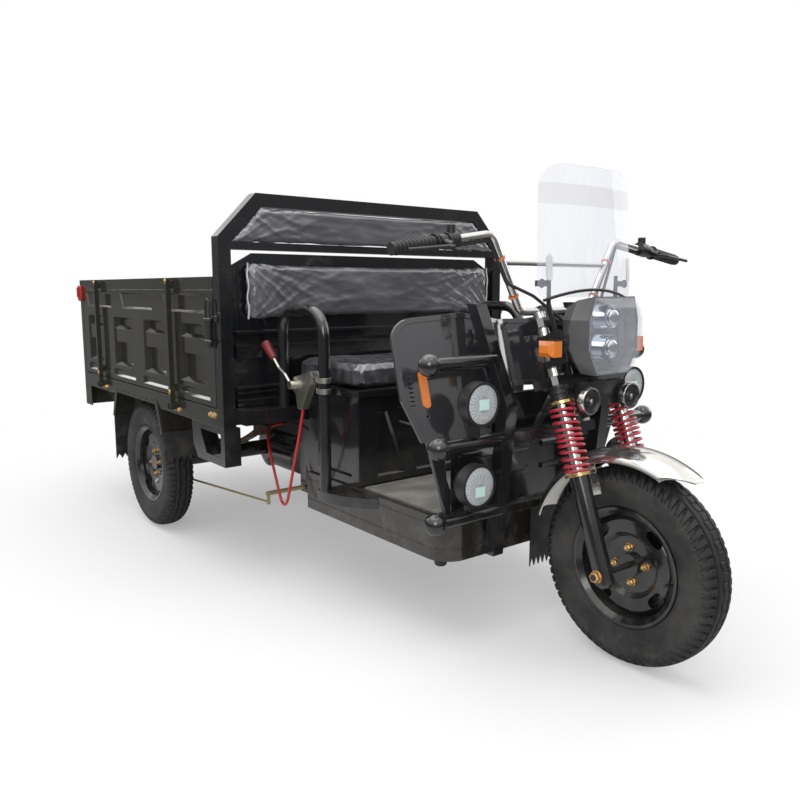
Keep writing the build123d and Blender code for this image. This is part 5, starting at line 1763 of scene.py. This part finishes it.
# Small fittings
@dataclass
class Latches:
    """Over-centre latches at the gates' front edges, with their keepers on the hoop."""

    x: float = 0.0125
    z: float = 0.8765
    plate_width: float = 0.062
    plate_height: float = 0.107
    pin_half: float = 0.028
    pin_shifts: tuple[float, float] = (0.044, -0.030)
    loop_radius: float = 0.016
    loop_foot: float = 0.900
    loop_top: float = 0.972
    keeper_x: float = 0.076

    def wire(self) -> np.ndarray:
        """Centre line of the wire loop that stands above the plate: two uprights and a round top.

        Returns:
            Rows of points.
        """
        turn = np.linspace(0, math.pi, 13)
        wide, foot = self.loop_radius, self.loop_foot
        arch = np.stack([self.x - wide * np.cos(turn), self.loop_top + wide * np.sin(turn)], axis=1)
        line = np.concatenate([[(self.x - wide, foot)], arch, [(self.x + wide, foot)]])
        return np.stack([line[:, 0], np.full(len(line), BED_HALF_WIDTH + 0.013), line[:, 1]], axis=1)

    def build(self, finishes: Finishes) -> None:
        """Make a latch for each gate and the keepers.

        Args:
            finishes: The shared finishes.
        """
        out, up, face = Axis.Y.value, Axis.Z.value, BED_HALF_WIDTH
        latch = Skin()
        outline = rounded(self.plate_width, self.plate_height, 0.006)
        latch.plate(outline, (self.x, face, self.z), out, 0.004, 0.001, up)
        latch.plate(capsule(0.092, 0.026), (self.x, face + 0.004, self.z - 0.004), out, 0.011, 0.003, up)
        for shift in self.pin_shifts:
            y, z, half = face + 0.012, self.z + shift, self.pin_half
            ends = np.linspace((self.x - half, y, z), (self.x + half, y, z), 3)
            latch.tube(ends, 0.0055, 12)
        latch.tube(self.wire(), 0.0032, 10, Axis.Y.value)
        hand_over(latch, "gate_latch", "black_plastic", finishes)
        x = self.keeper_x
        keeper = Skin().plate(rounded(0.024, 0.080, 0.004), (x, face, 0.905), out, 0.005, 0.001, up)
        keeper.plate(rounded(0.012, 0.020, 0.003), (x, face + 0.005, 0.925), out, 0.012, 0.002, up)
        finishes.declare(keeper.mirrored().make("latch_keepers"), "black_plastic", "chassis")


@dataclass
class Fittings:
    """Small trims: screen foot, screen bosses, cable ties, sleeves, foot pads, rear latches, wrap edges."""

    screen_x: float = 1.089
    screen_sag: float = 0.030
    screen_half: float = 0.202
    trim_half: float = 0.182

    def screen_trim(self) -> Skin:
        """Arched strip along the screen's foot: a tube whose height falls with the square of y.

        Returns:
            The skin.
        """
        y = np.linspace(-self.trim_half, self.trim_half, 33)
        x = self.screen_x - self.screen_sag * (y / self.screen_half) ** 2
        z = 1.020 - 0.028 * (y / self.trim_half) ** 2
        return Skin().tube(np.stack([x, y, z], axis=1), 0.0042, 10)

    def bosses(self) -> Skin:
        """White oval covers on the screen's bosses."""
        place, facing = (1.0690, 0.170, 1.078), (0.970, 0.245, 0.054)
        return Skin().plate(capsule(0.068, 0.019), place, facing, 0.0035, 0.0012).mirrored()

    def ties(self) -> Skin:
        """Flat ties round the bar and its cable.

        Returns:
            The skin.
        """
        skin = Skin()
        along = (0.0, 0.480, 0.877)
        for y, z in ((0.232, 1.104), (0.176, 1.002)):
            skin.lathe(collar(-0.003, 0.003, 0.0125, 0.0150), (0.949, y, z), along, 24)
        return skin.mirrored()

    def sleeves(self) -> Skin:
        """Black sleeves between the springs and the lower yoke, each with two grooves.

        Returns:
            The skin.
        """
        bore, outer, groove, top = 0.0176, 0.026, 0.0235, 0.0425
        profile = [(0.0, bore), (0.0, outer)]
        for low in (0.012, 0.028):
            profile += [(low, outer), (low + 0.002, groove), (low + 0.006, groove), (low + 0.008, outer)]
        profile += [(top, outer), (top, bore), (0.0, bore)]
        return Skin().lathe(profile, steered(0.126, 0.0, 0.4722), fork_axis(), 32).mirrored()

    def feet(self) -> Skin:
        """Rubber pads under the platform's front corners."""
        profile = [(0, 0), (0, 0.020), (0.018, 0.018), (0.022, 0.014), (0.022, 0)]
        return Skin().lathe(profile, (0.845, 0.345, 0.2552), (0, 0, -1), 24).mirrored()

    def rear_latches(self) -> Skin:
        """Red catches at the top of the rear corner posts.

        Returns:
            The skin.
        """
        x, face, thick = -1.478, BED_HALF_WIDTH, 0.014
        out, up = Axis.Y.value, Axis.Z.value
        skin = Skin().plate(rounded(0.040, 0.075, 0.008), (x, face, 1.000), out, thick, 0.003, up)
        return skin.plate(capsule(0.050, 0.014), (x, face + thick, 1.005), out, 0.008, 0.002, up).mirrored()

    def wrap_edge(self) -> Skin:
        """Rolled edge of the clear wrap at the backrest's ends: a wavering upright roll.

        Returns:
            The skin.
        """
        z = np.linspace(0.922, 1.108, 40)
        y = 0.5545 + 0.002 * np.sin(z * 90)
        x = 0.0990 + 0.0025 * np.sin(z * 61 + 1)
        return Skin().tube(np.stack([x, y, z], axis=1), 0.0030, 8, Axis.Y.value).mirrored()

    def build(self, finishes: Finishes) -> None:
        """Make every fitting.

        Args:
            finishes: The shared finishes.
        """
        rows = (
            ("screen_trim", self.screen_trim(), "black_plastic", "steering", ""),
            ("screen_bosses", self.bosses(), "boss_white", "steering", "clear"),
            ("cable_ties", self.ties(), "orange_tie", "steering", "amber"),
            ("spring_sleeves", self.sleeves(), "black_plastic", "steering", ""),
            ("foot_pads", self.feet(), "rubber", "chassis", ""),
            ("rear_latches", self.rear_latches(), "red_latch", "chassis", "red_plastic"),
            ("wrap_edges", self.wrap_edge(), "wrap_edge", "chassis", "clear"),
        )
        for name, skin, finish, body, slot in rows:
            finishes.declare(skin.make(name), finish, body)


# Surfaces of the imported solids
class Dressing:
    """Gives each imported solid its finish."""

    nodes: dict[str, str] = {
        "bed_paint": "bed_frame bed_floor side_gate_left side_gate_right tailgate mudguards",
        "floor_paint": "platform",
        "chrome": "fork_tubes front_fender handlebar",
        "red_spring": "fork_springs",
        "black_plastic": "front_axle bar_controls spot_lamps horns",
        "zinc": "handbrake",
        "tan_rod": "brake_linkage",
        "rubber": "mud_flaps front_flap bar_grips bar_cables",
        "shield_plastic": "leg_shield",
        "grey_plastic": "headlight_shell",
        "clear": "headlight_lens",
        "spot_lens": "spot_lenses",
        "screen": "windscreen",
        "lamp_chrome": "headlight_lamps",
        "amber": "indicator_lenses reflectors",
        "red_plastic": "tail_lamps",
        "maroon": "handbrake_grip",
        "red_cable": "brake_cable",
        "mat": "floor_mat",
        "blue_case": "battery_pack",
        "rusty_steel": "leaf_springs",
        "seat_vinyl": "seat_cushion",
        "vinyl": "back_cushion headrest_cushion",
    }
    plain = "black_paint"

    def build(self, finishes: Finishes) -> None:
        """Assign the finishes; a solid that isn't listed is black.

        Args:
            finishes: The shared finishes.
        """
        by_node = {node: finish for finish, names in self.nodes.items() for node in names.split()}
        for name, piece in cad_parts.items():
            finishes.put(piece, by_node.get(name, self.plain))
        log.info("dressed %d packed solids", len(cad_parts))


def main() -> None:
    """Build the studio and every piece."""
    logging.basicConfig(level=logging.INFO, format="%(name)s: %(message)s")
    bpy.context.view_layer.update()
    Studio().build()
    finishes = Finishes()
    groups = (Cables, Dressing, Wheels, Seats, Springs, Headlight, Horns, Bolts, AxleNuts, Latches, Fittings)
    for group in groups:
        group().build(finishes)


if __name__ == "__main__":
    main()
